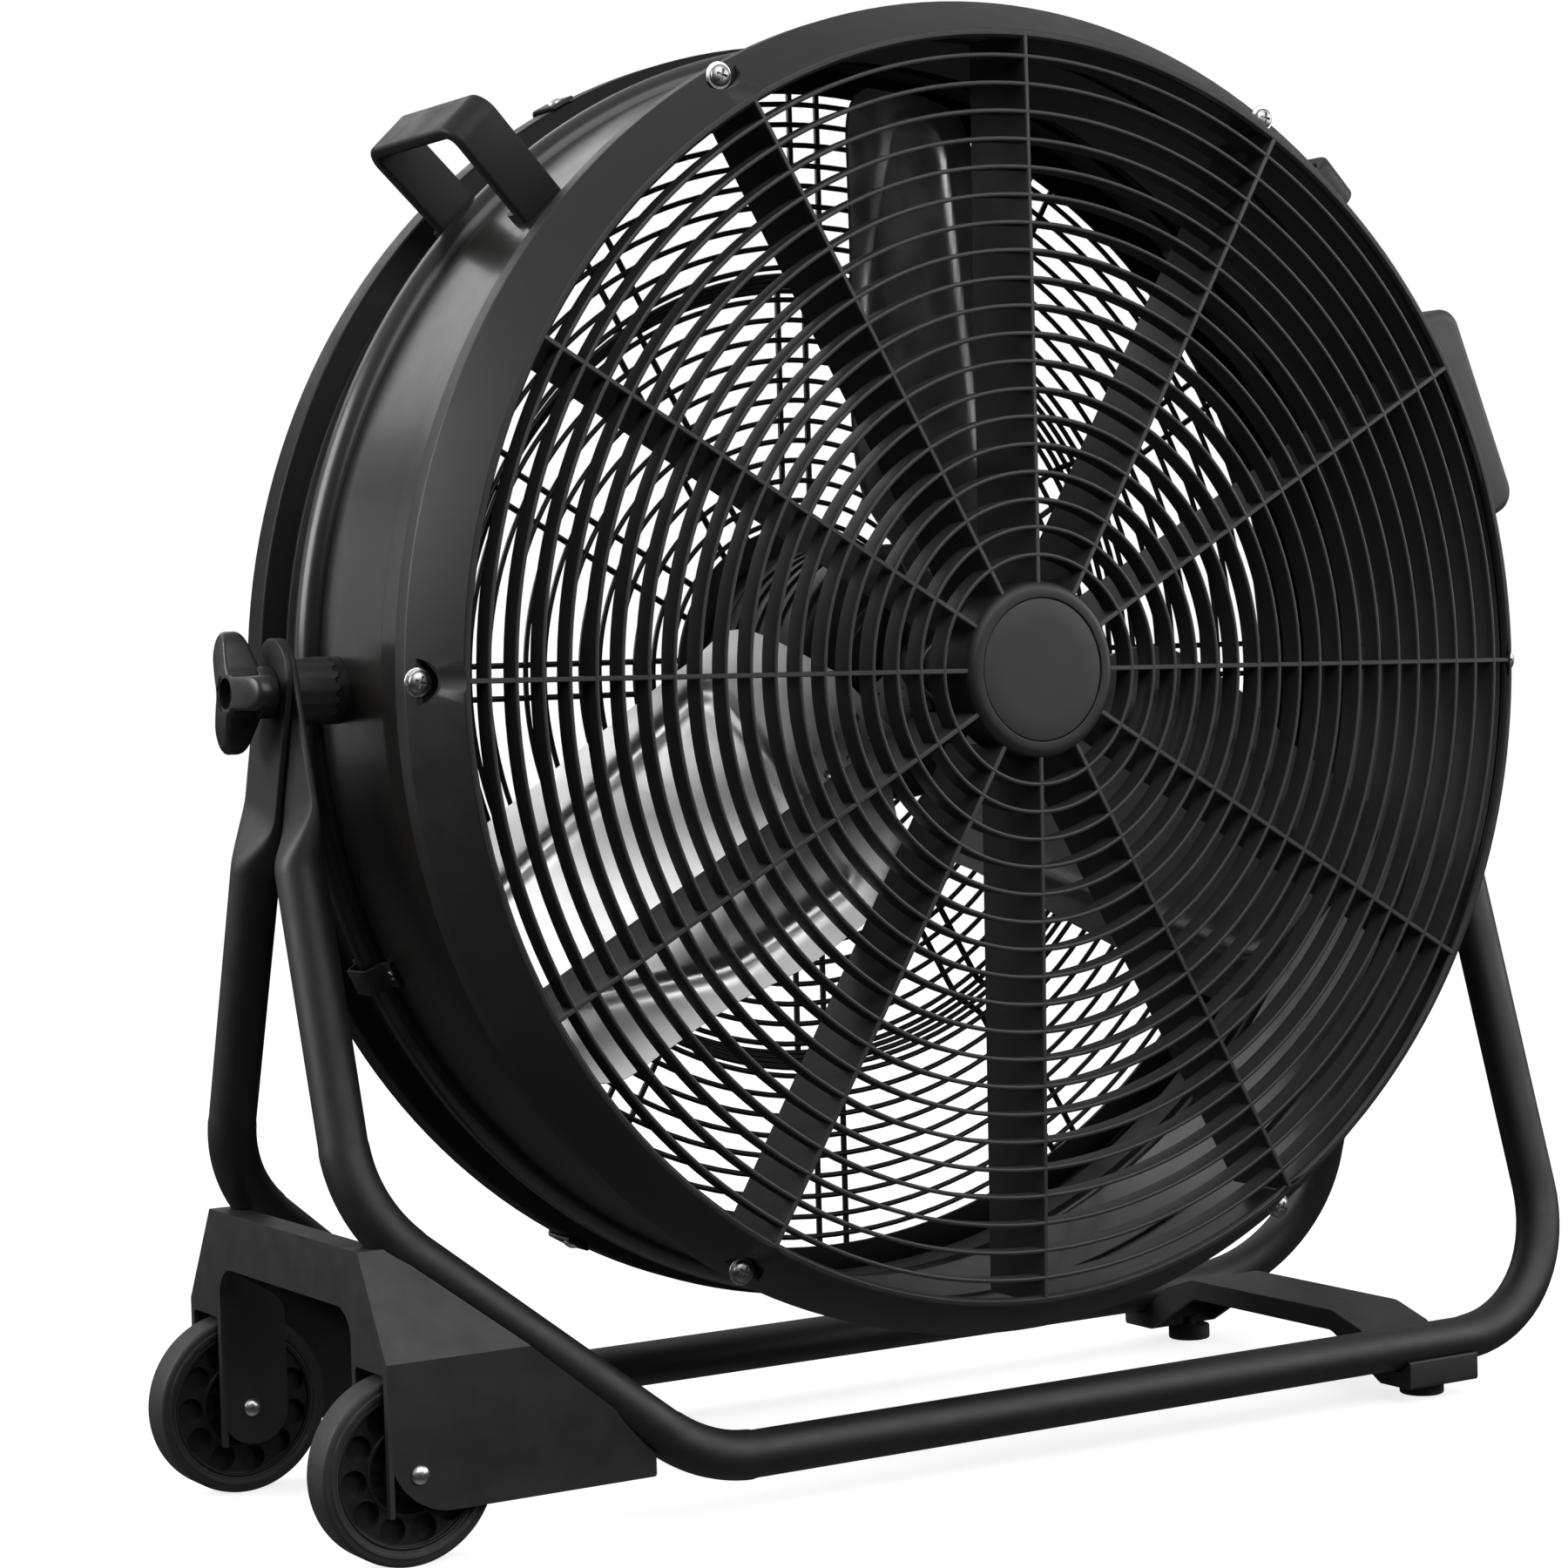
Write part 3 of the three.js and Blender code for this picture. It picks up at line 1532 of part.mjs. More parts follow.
const spinning = new THREE.Group();
head.add(spinning);
piece(spinning, "motor_shaft", motorShaft(), steel);
piece(spinning, "rotor_core", rotorCore(), steel);
piece(spinning, "blade_hub", bladeHub(), steel);
for (let k = 0; k < rotor.bladeCount; k += 1) {
  const arm = outward(spinning, rotor.firstBlade + (360 * k) / rotor.bladeCount);
  piece(arm, `blade_${k + 1}`, blade(), aluminium);
}
piece(spinning, "hub_nut", hubNut(), zinc);

for (const [side, sign] of [["right", 1], ["left", -1]]) {
  const onSide = (geometry) => (sign > 0 ? geometry : mirrored(geometry, -1, 1, 1));
  piece(head, `pivot_boss_${side}`, onSide(pivotBoss()), plastic).position.y = pivot.y;
  piece(assembly, `pivot_spacer_${side}`, onSide(pivotSpacer()), plastic);
  piece(assembly, `tilt_knob_${side}`, onSide(tiltKnob()), plastic);
}

const frontTube = piece(assembly, "front_tube", standTube(plateInnerX), powderCoat);
frontTube.rotation.x = -legTilt;
const rearTube = piece(assembly, "rear_tube", standTube(plateInnerX + stand.endSheet + gap), powderCoat);
rearTube.rotation.x = legTilt;
piece(assembly, "cross_bar", crossBar(), powderCoat);
piece(assembly, "wheel_housing", wheelHousing(), powderCoat);
for (const [end, sign] of [["front", -1], ["rear", 1]]) {
  const footMesh = piece(assembly, `foot_${end}`, footBody(), rubber);
  footMesh.position.set(footX, sign * footSpread, 0);
  const axleMesh = piece(assembly, `axle_${end}`, sign < 0 ? axle() : mirrored(axle(), 1, -1, 1), zinc);
  axleMesh.position.set(-wheelX, 0, -axleDrop);
  const rolling = new THREE.Group();
  rolling.position.set(-wheelX, sign * wheelSpread, -axleDrop);
  assembly.add(rolling);
  piece(rolling, `tyre_${end}`, tyre(), rubber);
  piece(rolling, `wheel_hub_${end}`, wheelHub(), plastic);
}

// The part's origin: on the floor, at the middle of its footprint
const fan = new THREE.Group();
fan.add(assembly);
fan.updateMatrixWorld(true);
const bounds = new THREE.Box3().setFromObject(assembly, true);
const middle = bounds.getCenter(new THREE.Vector3());
assembly.position.set(-middle.x, -middle.y, -bounds.min.z);
console.log("pivot axis at", assembly.position.toArray().map((value) => value.toFixed(3)).join(" "));

export default fan;
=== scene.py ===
import json
import math
from types import SimpleNamespace as Sizes

import bmesh
import bpy
from mathutils import Matrix, Vector

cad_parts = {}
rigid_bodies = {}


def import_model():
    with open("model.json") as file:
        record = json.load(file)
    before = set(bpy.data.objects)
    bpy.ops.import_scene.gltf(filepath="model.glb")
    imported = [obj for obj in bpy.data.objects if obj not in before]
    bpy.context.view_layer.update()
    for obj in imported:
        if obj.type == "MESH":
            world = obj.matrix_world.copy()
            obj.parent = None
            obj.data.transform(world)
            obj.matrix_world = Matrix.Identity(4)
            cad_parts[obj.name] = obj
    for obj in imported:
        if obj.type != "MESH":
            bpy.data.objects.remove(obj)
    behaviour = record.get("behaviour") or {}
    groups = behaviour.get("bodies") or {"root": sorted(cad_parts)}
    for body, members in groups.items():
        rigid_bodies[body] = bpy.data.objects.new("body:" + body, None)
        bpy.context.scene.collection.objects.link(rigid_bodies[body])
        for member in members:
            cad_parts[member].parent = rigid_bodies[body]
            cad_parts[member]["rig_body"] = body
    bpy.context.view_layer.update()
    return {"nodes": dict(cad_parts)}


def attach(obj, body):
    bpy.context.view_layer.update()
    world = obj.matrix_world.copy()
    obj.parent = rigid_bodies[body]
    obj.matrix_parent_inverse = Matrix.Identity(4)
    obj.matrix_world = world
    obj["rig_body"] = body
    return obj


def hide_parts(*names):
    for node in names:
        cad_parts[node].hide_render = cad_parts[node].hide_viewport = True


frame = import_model()

# Lengths are in millimetres, as in the part's own source, and become metres in add_piece
MM = 0.001
GAP = 0.3
OVERRUN = 6
WELD = 0.001
SUNK = 0.1
QUARTER = math.pi / 2
TURN = 2 * math.pi
# A mitre's least cosine, the flattest edge that stays after a cut, and a guard against dividing by zero
MITRE = 0.3
FLAT = math.radians(0.3)
TINY = 1e-9

DRUM = Sizes(
    radius=337, sheet=2, neck_inset=3, front_y=11.8, joggle_y=28, joggle_length=4, raised_step=2,
    step_y=74, bead_y=158, bead_half=10, bead_height=9, bead_steps=16, groove_step=1, rim_y=190,
    rim_step=13, rim_round=3, depth=212, flange_inset=11, joggle_corner=2, step_corner=1.2,
    rim_corner=2.5, back_corner=3.5, segments=192,
)
GRILLE = Sizes(
    lip=330, skirt=348.4, skirt_depth=27, hem=11, wall=2.5, skirt_corner=2.5, hem_corner=0.9,
    inner_corner=2, inner_drop=0.8, dome=3.8, turn=-0.6, ribs=12, rib_thickness=2.5, rib_depth=50,
    rib_chamfer=0.5, rib_ease=0.05, rib_front=3, rib_lead=1.4, rib_inset=1.5, rib_stations=8,
    first_ring=59.5, ring_pitch=14.3, rings=19, ring_front=2.4, ring_back=1.5, ring_depth=13, hub=46,
    hub_proud=2.5, hub_corner=5, hub_depth=18, hub_edge=0.6, well_gap=0.35, well_corner=0.5,
    floor_corner=1, badge=37, badge_thickness=1.5, badge_sink=0.4, badge_edge=0.2, segments=192,
)
# The skirt's rolled lip, in front and behind: radius past the lip, y, corner
LIP_FRONT = ((-4, 1.6, 0.6), (-2.6, 0, 0.8), (0.2, 0, 1.2))
LIP_BACK = ((0, 4.4, 1.2), (-4, 4.4, 0.8))
# A ring's round front edge: share of its half width, distance behind its front
RING_NOSE = ((1, 0.9), (0.8, 0.3), (0.35, 0))
# The badge's crowned face: share of its radius, distance behind its rim, corner
BADGE_FACE = ((0, -0.25, 0), (0.7, -0.15, 0), (1, 0, 0.6))
SCREW = Sizes(
    count=6, ring=344.2, seat=21.8, washer=7.1, washer_thickness=1.2, washer_corners=(0.3, 0.4),
    head=5.5, head_height=3.2, head_side=0.35, shank=2.2, length=10, twist=23, scoop_half=12.5,
    scoop_lip=7.8, scoop_steps=16, slot_half=0.65, slot_reach=3.1, slot_depth=1.8, slot_overrun=1,
    tab=9, tab_sheet=2, tab_sunk=0.4, tab_gap=1.2, pad_reach=60, pad_front=0.2, pad_lip_inset=0.6,
    pad_skirt_inset=0.8,
)
GUARD = Sizes(
    wire=2.6, ring_wire=3.1, arm_wire=3.5, weld=0.5, arms=12, arm_pitch=18, outer_lap=5,
    step_radius=223, step_half=5, step_back=18, step_corner=5, centre=34, pitch=11.4, wall_rings=4,
    end_room=1, segments=144, sides=8,
)
CLIP = Sizes(
    angles=(62, 118, 203, 240, 300, 337), width=14, thickness=2, hold=20, reach=5, corner=3, edge=0.5,
    rivet=4, rivet_height=2, rivet_inset=11,
)
MOTOR = Sizes(
    radius=70, wall=2.5, length=83, cap=20, corner=6, edge=0.6, nose=(0.55, 0.6), nose_step=3,
    nose_corner=2, bore_gap=1.5, floor=8, cap_corner=2.5, cap_edge=1, plate=84, plate_thickness=2.5,
    shaft=7.5, bolt_circle=57, bolt_angles=(30, 150, 210, 330), bolt=2.5, bolt_washer=13,
    washer_thickness=1.6, washer_corners=(0.4, 0.5), bolt_head=4.5, bolt_height=3.5, grooves=5,
    groove_start=22, groove_pitch=11, groove_depth=1.6,
)
# A cooling groove: distance along the motor, share of the groove's depth
GROOVE = ((0, 0), (1.5, 1), (5, 1), (6.5, 0))
# A hexagon head: share of its height, share of its radius
HEXAGON = ((0, 1), (0.75, 1), (1, 0.9))
ROTOR = Sizes(
    blades=3, first=93, pitch=30, tip=312, setback=25, lead=75, trail=68, camber=4, sheet=1.4,
    share_steps=14, columns=60, collar=17, collar_corner=1.5, collar_length=26, arm_root=14,
    arm_length=100, arm_width=30, arm_corner=9, arm_sheet=2.5, nut_across=12, nut_length=8,
    ridge_height=3.0, ridge_width=3.6, rivet=3.6, rivet_height=2.0, rivet_rows=(54, 71, 88),
    rivet_half=8,
)
# Blade outline, from root to tip: shares of the tip radius, of lead and of trail
BLADE_SHARES = (
    (0.135, 0.36, 0.18), (0.215, 0.95, 0.45), (0.33, 1.0, 0.96), (0.53, 1.0, 1.0), (0.7, 1.0, 0.86),
    (0.85, 1.0, 0.8), (0.93, 0.97, 0.76), (0.975, 0.8, 0.62), (0.997, 0.42, 0.4),
)
# The pressed ridge's loop: distance out from the axis, distance ahead of the blade's middle, corner
RIDGE = ((297, -4, 22), (297, 45, 24), (103, 62, 9), (117, -52, 12), (205, -46, 60))
HANDLE = Sizes(
    angles=(45, 135), inset=45.6, rise=63, width=28, thickness=7, corner=8, flare=4, edge=2.2, sunk=1.2,
    foot_length=16, foot_thickness=4, foot_inset=2, foot_corner=5, screw=3.4, screw_height=2.2,
    screw_out=10,
)
BOX = Sizes(
    angle=22.5, front_y=50, length=114, width=122, rise=52, root_width=136, root_sunk=12, wall=2.5,
    corner=12, ease=5, ease_steps=5, screw=3.2, screw_height=1.6, screw_sunk=0.6, screw_end=12,
    screw_side=14, knob=17, flutes=12, flute_steps=8, pointer=0.8, pointer_half=1, pointer_proud=0.5,
    gland=8, gland_length=16, gland_flange=3, gland_z=-40, gland_rise=26, gland_root=4,
    gland_corner=0.5, gland_rings=4, gland_first=1.5, gland_pitch=3, gland_edge=0.3,
)
# The speed knob: distance along its axis, share of its radius, depth of its flutes
DIAL = ((0, 0.97, 0.0), (0.8, 1.0, 0.6), (4, 1.0, 1.2), (15, 0.9, 1.2), (16.4, 0.87, 0.8), (17, 0.82, 0.1))
# A gland's ring: distance along it, height
GLAND_RING = ((0, 1), (0.6, 0), (1.6, 0), (2.2, 1))
LEAD = Sizes(
    angle=205.5, width=14, thickness=2, foot=9, headroom=2, lift=0.2, lower=1, foot_corner=2,
    top_corner=3, edge=0.4, screw=2.8, screw_height=1.6, screw_out=1,
)
PIVOT = Sizes(
    y=130.6, boss=17, boss_length=4, boss_sunk=0.6, teeth=16, tooth_height=2, tooth_gap=0.5,
    tooth_ease=0.5, tooth_turn=0.82, sleeve=8, sleeve_sunk=10, bolt=4, bolt_end=7, collar=13,
    collar_length=5, collar_lap=3.5, neck_share=0.6, knob=34, arm_half=8.6, fillet=9, droop=4.2,
    droop_from=9, droop_power=1.2, arm=9.5, lobes=3, depth=19, recess=10.2, recess_floor=0.7, hole=7.8,
    recess_depth=6, hole_overrun=2, bore=4.3, outline_steps=120, blend_share=0.9,
    bolt_edge=0.5, collar_edge=0.6, collar_corner=1,
)
# A tooth: share of the pitch, share of the height
TOOTH = ((0.0, 0), (0.14, 1), (0.5, 1), (0.64, 0))
# The clamp knob's outer and inner faces: share of the outline, distance below the face
KNOB_OUTER = ((0.4, 0), (0.62, 0), (0.8, 0), (0.9, 0.15), (0.955, 0.6), (0.985, 1.4), (1.0, 2.6))
KNOB_INNER = ((1.0, 2.4), (0.985, 1.2), (0.95, 0.5), (0.88, 0.1), (0.7, 0), (0.45, 0))
STAND = Sizes(
    tube=12.5, leg_x=371, tilt=17.07, base_drop=386.7, floor_drop=417, right_bend=80, left_bend=75,
    left_corner_drop=251, left_corner_inset=167, bend_steps=18, sides=32, end_sheet=4, end_half=19,
    end_top=27, end_bottom=60, end_rise=12, end_edge=0.8, end_steps=12, flattening=0.72,
    end_power=0.25, swell_power=1.2, taper=34, plate_inset=7, pinch=0.955,
)
BAR = Sizes(
    x=267, width=50, sheet=3, overhang=1, saddle_drop=21.5, saddle_rise=6, saddle_length=26,
    shoulder_run=42, shoulder_drop=6.5, crown_run=68, crown_rise=14.5, flange=12, end_corner=2,
    ledge_corner=1, shoulder_corner=6, crown_corner=16, inner_shoulder=4, inner_crown=14,
    flange_corner=12,
)
FOOT = Sizes(x=272, spread=107, radius=12.5, edge=1.2, top_edge=0.8, stem=4, stem_rise=5)
WHEEL = Sizes(
    inset=11, radius=46, tread=21, rim=37.5, rim_width=18, boss=11, boss_width=32, face=7.2,
    pocket=6.9, pocket_draft=0.3, pocket_circle=29.2, pockets=11, pocket_depth=5.2, pocket_overrun=4,
    ring=21.3, windows=8, window_in=12.6, window_out=19.4, window_web=1.2, window_overrun=10,
    window_start=0.16, window_share=0.68, window_steps=6, bead=1.1, lip=1.9, lip_inset=0.4,
    lip_corner=0.8, shoulder_drop=4.6, shoulder_inset=0.5, shoulder_step=1, tread_inset=0.8,
    tread_corner=2.16, boss_step=3, boss_lap=1, web_drop=3.4, web_corner=0.5, ring_proud=0.8,
    ring_half=0.9, ring_foot=1.2, rim_wall=1.4, rim_top=1.2, edge=0.3, axle=3.2, axle_lap=0.05, head=4.8,
    head_height=2.5, bore=3.5, turns=(11, -17),
)
HOUSING = Sizes(
    sheet=2.5, wall_inset=5, half=118.6, top=267, top_inset=28.7, top_flange=15, crease=317,
    bottom=390, right_x=232, right_corner=8, foot_corner=1.5, tube_show=8, corner=34, bay=34,
    notch_gap=5, notch_corner=2.5, window=296, window_corner=15, cheek_reach=36, cheek_corner=17,
)

# Places that follow from the sizes
NECK = DRUM.radius - DRUM.neck_inset
FLANGE = DRUM.radius - DRUM.flange_inset
RIM = DRUM.radius + DRUM.rim_step
SLOPE = (GRILLE.skirt - GRILLE.lip) / GRILLE.skirt_depth
SEAT = NECK + GAP + GRILLE.wall
HUB_Y = -GRILLE.dome - GRILLE.hub_proud
GUARD_Y = DRUM.depth + GAP + GUARD.wire / 2
DISC_Y = GUARD_Y + GUARD.step_back
RING_BACK = GUARD.wire - GUARD.weld
PLATE_BACK = DISC_Y - RING_BACK - GUARD.wire / 2 - GAP
PLATE_FRONT = PLATE_BACK - MOTOR.plate_thickness
CAP_BACK = PLATE_FRONT - GAP
CAP_FRONT = CAP_BACK - MOTOR.cap
MOTOR_FRONT = CAP_FRONT - GAP - MOTOR.length
BLADE_Y = MOTOR_FRONT - ROTOR.setback
SPREAD = STAND.base_drop * math.tan(math.radians(STAND.tilt))
PLATE_IN = STAND.leg_x - STAND.plate_inset
PLATE_OUT = PLATE_IN + 2 * STAND.end_sheet + GAP
TOOTH_X = DRUM.radius + GAP + PIVOT.boss_length + PIVOT.tooth_height
KNOB_X = PLATE_OUT + GAP + PIVOT.collar_length
KNOB_END = KNOB_X + PIVOT.depth
WHEEL_X = STAND.leg_x - WHEEL.inset
AXLE_DROP = STAND.floor_drop - WHEEL.radius
WHEEL_SPREAD = HOUSING.half - HOUSING.sheet - HOUSING.bay / 2
HOUSING_X = -STAND.leg_x - HOUSING.wall_inset
TRIM_SLOPE = (STAND.base_drop - STAND.left_corner_drop) / STAND.left_corner_inset
TRIM_START = STAND.left_corner_drop + HOUSING.tube_show
BAY_Y = HOUSING.half - HOUSING.sheet - HOUSING.bay

# A point (u, v) across an axis and w along it, as (x, y, z)
ALONG = {
    "X": lambda u, v, w: (w, u, v),
    "Y": lambda u, v, w: (u, w, v),
    "Z": lambda u, v, w: (u, v, w),
}


def move(x, y, z):
    return Matrix.Translation((x, y, z))


def turn(degrees, axis):
    return Matrix.Rotation(math.radians(degrees), 4, axis)


def outward(angle):
    """Turns local X to point outward at an angle round the fan, anticlockwise as seen from the front."""
    return turn(-angle, "Y")


def around(count, start=0.0):
    return [outward(360 * k / count + start) for k in range(count)]


# Local frames: the stand's origin is the pivot axis, the head's is the grille's middle
AT_STAND = move(4.700, 2.329, 417.0)
AT_HEAD = AT_STAND @ move(0, -PIVOT.y, 0)
AT_CAP = AT_HEAD @ outward(GRILLE.turn)
HERE = Matrix.Identity(4)
FLIP_X = Matrix.Scale(-1, 4, (1, 0, 0))
FLIP_Y = Matrix.Scale(-1, 4, (0, 1, 0))


# Outlines
def angles(span, steps):
    """Angles from zero up to a span, in equal steps."""
    return [span * k / steps for k in range(steps + 1)]


def circle(radius, count):
    return [(radius * math.cos(a), radius * math.sin(a)) for a in angles(TURN, count)[:-1]]


def dome(radius, height, base, steps, side=0.0):
    """Half the outline of a round head; a share of its height may be a straight side."""
    line = [(0, base), (radius, base)] if side else [(0, base)]
    for a in angles(QUARTER, steps):
        line.append((radius * math.cos(a), base + height * (side + (1 - side) * math.sin(a))))
    return line


def rounded(corners, steps=8):
    """Corners given as (x, y, radius), with each radius drawn as an arc."""
    points = []
    for i, (x, y, radius) in enumerate(corners):
        if not radius:
            points.append((x, y))
            continue
        at = Vector((x, y))
        before = (Vector(corners[i - 1][:2]) - at).normalized()
        after = (Vector(corners[(i + 1) % len(corners)][:2]) - at).normalized()
        half = math.acos(max(-1, min(1, before.dot(after)))) / 2
        centre = at + (before + after).normalized() * (radius / math.sin(half))
        start = at + before * (radius / math.tan(half)) - centre
        side = after.x * before.y - after.y * before.x
        for a in angles(math.copysign(math.pi - 2 * half, side), steps):
            c, s = math.cos(a), math.sin(a)
            points.append((centre.x + start.x * c - start.y * s, centre.y + start.x * s + start.y * c))
    return points


def mitres(line):
    """Each point of an open line, with its normal to the left, stretched as its corner needs."""
    points = [Vector(point[:2]) for point in line]
    ways = [(b - a).normalized() for a, b in zip(points, points[1:])]
    made = []
    for i, at in enumerate(points):
        near = ways[max(i - 1, 0):i + 1]
        along = sum(near, Vector((0, 0))).normalized()
        made.append((at, Vector((-along.y, along.x)) / max(MITRE, along.dot(near[0]))))
    return made


def sheet_outline(line, sheet, steps=6):
    """The closed outline of a bent sheet whose outer face follows a line of (x, y, radius) points."""
    inner = [(*(at + normal * sheet), point[2]) for (at, normal), point in zip(mitres(line), line)]
    return rounded(line, steps) + rounded(inner, steps)[::-1]


def oval(half_side, half_across, sides, power=1.0):
    """A section that goes from an ellipse at power 1 towards a rectangle at lower powers."""
    points = []
    for k in range(sides):
        angle = TURN * (k + 0.5) / sides
        c, s = math.cos(angle), math.sin(angle)
        points.append((
            half_side * math.copysign(abs(c) ** power, c),
            half_across * math.copysign(abs(s) ** power, s),
        ))
    return points


def bar_section(half_side, half_across, edge, steps=2):
    return rounded([(-half_side, -half_across, edge), (half_side, -half_across, edge),
                    (half_side, half_across, edge), (-half_side, half_across, edge)], steps)


def mirrored(half):
    """A line of (y, z, radius) points, then the same line seen in a mirror, from its end back."""
    return [*half, *[(-y, z, radius) for y, z, radius in half[::-1]]]


# Shapes
def band(bm, a, b, mat=0):
    """Faces between two loops of vertices that have the same count."""
    for i in range(len(a)):
        j = (i + 1) % len(a)
        bm.faces.new((a[i], a[j], b[j], b[i])).material_index = mat


def loft(bm, sections, closed=False, mat=0):
    """Faces between sections with the same count of points, and over both ends unless it is closed."""
    loops = [[bm.verts.new(point) for point in section] for section in sections]
    pairs = list(zip(loops, loops[1:]))
    if closed:
        pairs.append((loops[-1], loops[0]))
    for a, b in pairs:
        band(bm, a, b, mat)
    if not closed:
        for loop in (loops[0], loops[-1]):
            bm.faces.new(loop).material_index = mat


def lathe(bm, outline, segments, axis="Y", mat=0):
    """A closed outline of (radius, place along the axis), turned about the axis."""
    sections = [[ALONG[axis](r * c, r * s, at) for r, at in outline] for c, s in circle(1, segments)]
    loft(bm, sections, closed=True, mat=mat)


def disc(bm, radius, low, high, segments, axis="Y", corners=(0, 0), steps=3, bore=0):
    """A disc, rod or bush about an axis, with its outer edges rounded."""
    outline = [(bore, low, 0), (radius, low, corners[0]), (radius, high, corners[1]), (bore, high, 0)]
    lathe(bm, rounded(outline, steps), segments, axis)


def prism(bm, outline, axis, start, depth, mat=0):
    """A plate from an outline: (y, z) points for axis X, (x, z) for Y, (x, y) for Z."""
    loft(bm, [[ALONG[axis](u, v, w) for u, v in outline] for w in (start, start + depth)], mat=mat)


def block(bm, low, high, mat=0):
    prism(bm, [(low[1], low[2]), (high[1], low[2]), (high[1], high[2]), (low[1], high[2])], "X",
          low[0], high[0] - low[0], mat)


def hexagon(bm, radius, base, height):
    """A hexagon head along Y with its top corners eased."""
    loft(bm, [[(x, base + height * rise, z) for x, z in circle(radius * share, 6)]
              for rise, share in HEXAGON])


def sweep(bm, path, sections, across="Z"):
    """Carries sections of (sideways, across) points along a flat path; one alone serves all of it."""
    made = []
    for i, (at, normal) in enumerate(mitres(path)):
        ring = []
        for side, out in sections[i % len(sections)]:
            spot = at + normal * side
            ring.append(ALONG[across](spot.x, spot.y, out))
        made.append(ring)
    loft(bm, made)


def shape(build, *args, **named):
    """A new mesh with one shape in it."""
    bm = bmesh.new()
    build(bm, *args, **named)
    return bm


def merge(bm, other, places=(HERE,), mat=None):
    """Adds other to bm at each of the places, and frees it."""
    if mat is not None:
        for face in other.faces:
            face.material_index = mat
    for place in places:
        copy = other.copy()
        copy.transform(place)
        mesh = bpy.data.meshes.new("copy")
        copy.to_mesh(mesh)
        copy.free()
        bm.from_mesh(mesh)
        bpy.data.meshes.remove(mesh)
    other.free()


def weld(bm, place=HERE):
    """Joins doubled points, puts the mesh at its place and turns its faces outward."""
    bmesh.ops.remove_doubles(bm, verts=bm.verts, dist=WELD)
    bm.transform(place)
    bmesh.ops.recalc_face_normals(bm, faces=bm.faces)


def as_object(bm, name):
    mesh = bpy.data.meshes.new(name)
    bm.to_mesh(mesh)
    bm.free()
    obj = bpy.data.objects.new(name, mesh)
    bpy.context.scene.collection.objects.link(obj)
    return obj


def boolean(bm, tools, operation="DIFFERENCE"):
    """bm after each tool was taken from it, joined to it or kept in common with it."""
    objects = []
    for body in (bm, *tools):
        weld(body)
        objects.append(as_object(body, "cutting"))
    for helper in objects[1:]:
        modifier = objects[0].modifiers.new("cut", "BOOLEAN")
        modifier.operation = operation
        modifier.object = helper
        modifier.solver = "EXACT"
    graph = bpy.context.evaluated_depsgraph_get()
    mesh = bpy.data.meshes.new_from_object(objects[0].evaluated_get(graph), depsgraph=graph)
    result = bmesh.new()
    result.from_mesh(mesh)
    bpy.data.meshes.remove(mesh)
    for obj in objects:
        old = obj.data
        bpy.data.objects.remove(obj)
        bpy.data.meshes.remove(old)
    bmesh.ops.dissolve_limit(result, angle_limit=FLAT, verts=result.verts, edges=result.edges)
    return result


def rivet_head(bm, radius, height, base, axis="X"):
    lathe(bm, dome(radius, height, base, 6), 20, axis)


def pan_head(radius, height, base):
    """A domed head along X with a cross recess."""
    s = SCREW
    top = base + height
    slots = [shape(block, (top - s.slot_depth, -a, -b), (top + s.slot_overrun, a, b))
             for a, b in ((s.slot_reach, s.slot_half), (s.slot_half, s.slot_reach))]
    return boolean(shape(lathe, dome(radius, height, base, 7, s.head_side), 28, "X"), slots)


def add_piece(name, bm, place, slots, *nodes, bevel=0.0, smooth=38, body=None):
    """Makes a finished piece that stands for CAD nodes and rides on their body."""
    weld(bm, Matrix.Scale(MM, 4) @ place)
    limit = math.radians(smooth)
    for face in bm.faces:
        face.smooth = True
    if not bevel:
        for edge in bm.edges:
            if len(edge.link_faces) == 2:
                edge.smooth = edge.calc_face_angle() < limit
    obj = as_object(bm, name)
    for slot in slots:
        obj.data.materials.append(LOOKS[slot])
    if bevel:
        modifier = obj.modifiers.new("edges", "BEVEL")
        modifier.width = bevel * MM
        modifier.segments = 2
        modifier.limit_method = "ANGLE"
        modifier.angle_limit = limit
        modifier.harden_normals = True
    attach(obj, body or frame["nodes"][nodes[0]]["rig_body"])
    if nodes:
        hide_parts(*nodes)
    return obj


# Materials
def wire(tree, node, **inputs):
    """Sets a node's inputs, or joins them to other nodes' outputs; _ stands for a space in a name."""
    for key, value in inputs.items():
        socket = node.inputs[key.replace("_", " ")]
        if isinstance(value, bpy.types.NodeSocket):
            tree.links.new(value, socket)
        else:
            socket.default_value = value
    return node


def add_node(tree, kind, **inputs):
    return wire(tree, tree.nodes.new(kind), **inputs)


def add_ramp(tree, source, stops):
    ramp = add_node(tree, "ShaderNodeValToRGB", Fac=source)
    elements = ramp.color_ramp.elements
    while len(elements) < len(stops):
        elements.new(0.5)
    for element, (spot, colour) in zip(elements, stops):
        element.position = spot
        element.color = (*colour, 1)
    return ramp.outputs["Color"]


def grey(value, warm=0.0):
    return (value * (1 + warm), value, value * (1 - warm))


def brushed_bump(tree, depth, below):
    """Fine lines along the metal's grain, over another relief."""
    uv = add_node(tree, "ShaderNodeUVMap")
    along = add_node(tree, "ShaderNodeMapping", Vector=uv.outputs["UV"], Scale=(6, 900, 900))
    lines = add_node(tree, "ShaderNodeTexNoise", Vector=along.outputs["Vector"], Scale=1.0, Detail=4.0,
                     Roughness=0.7)
    return add_node(tree, "ShaderNodeBump", Strength=1.0, Distance=depth, Height=lines.outputs["Fac"],
                    Normal=below.outputs["Normal"])


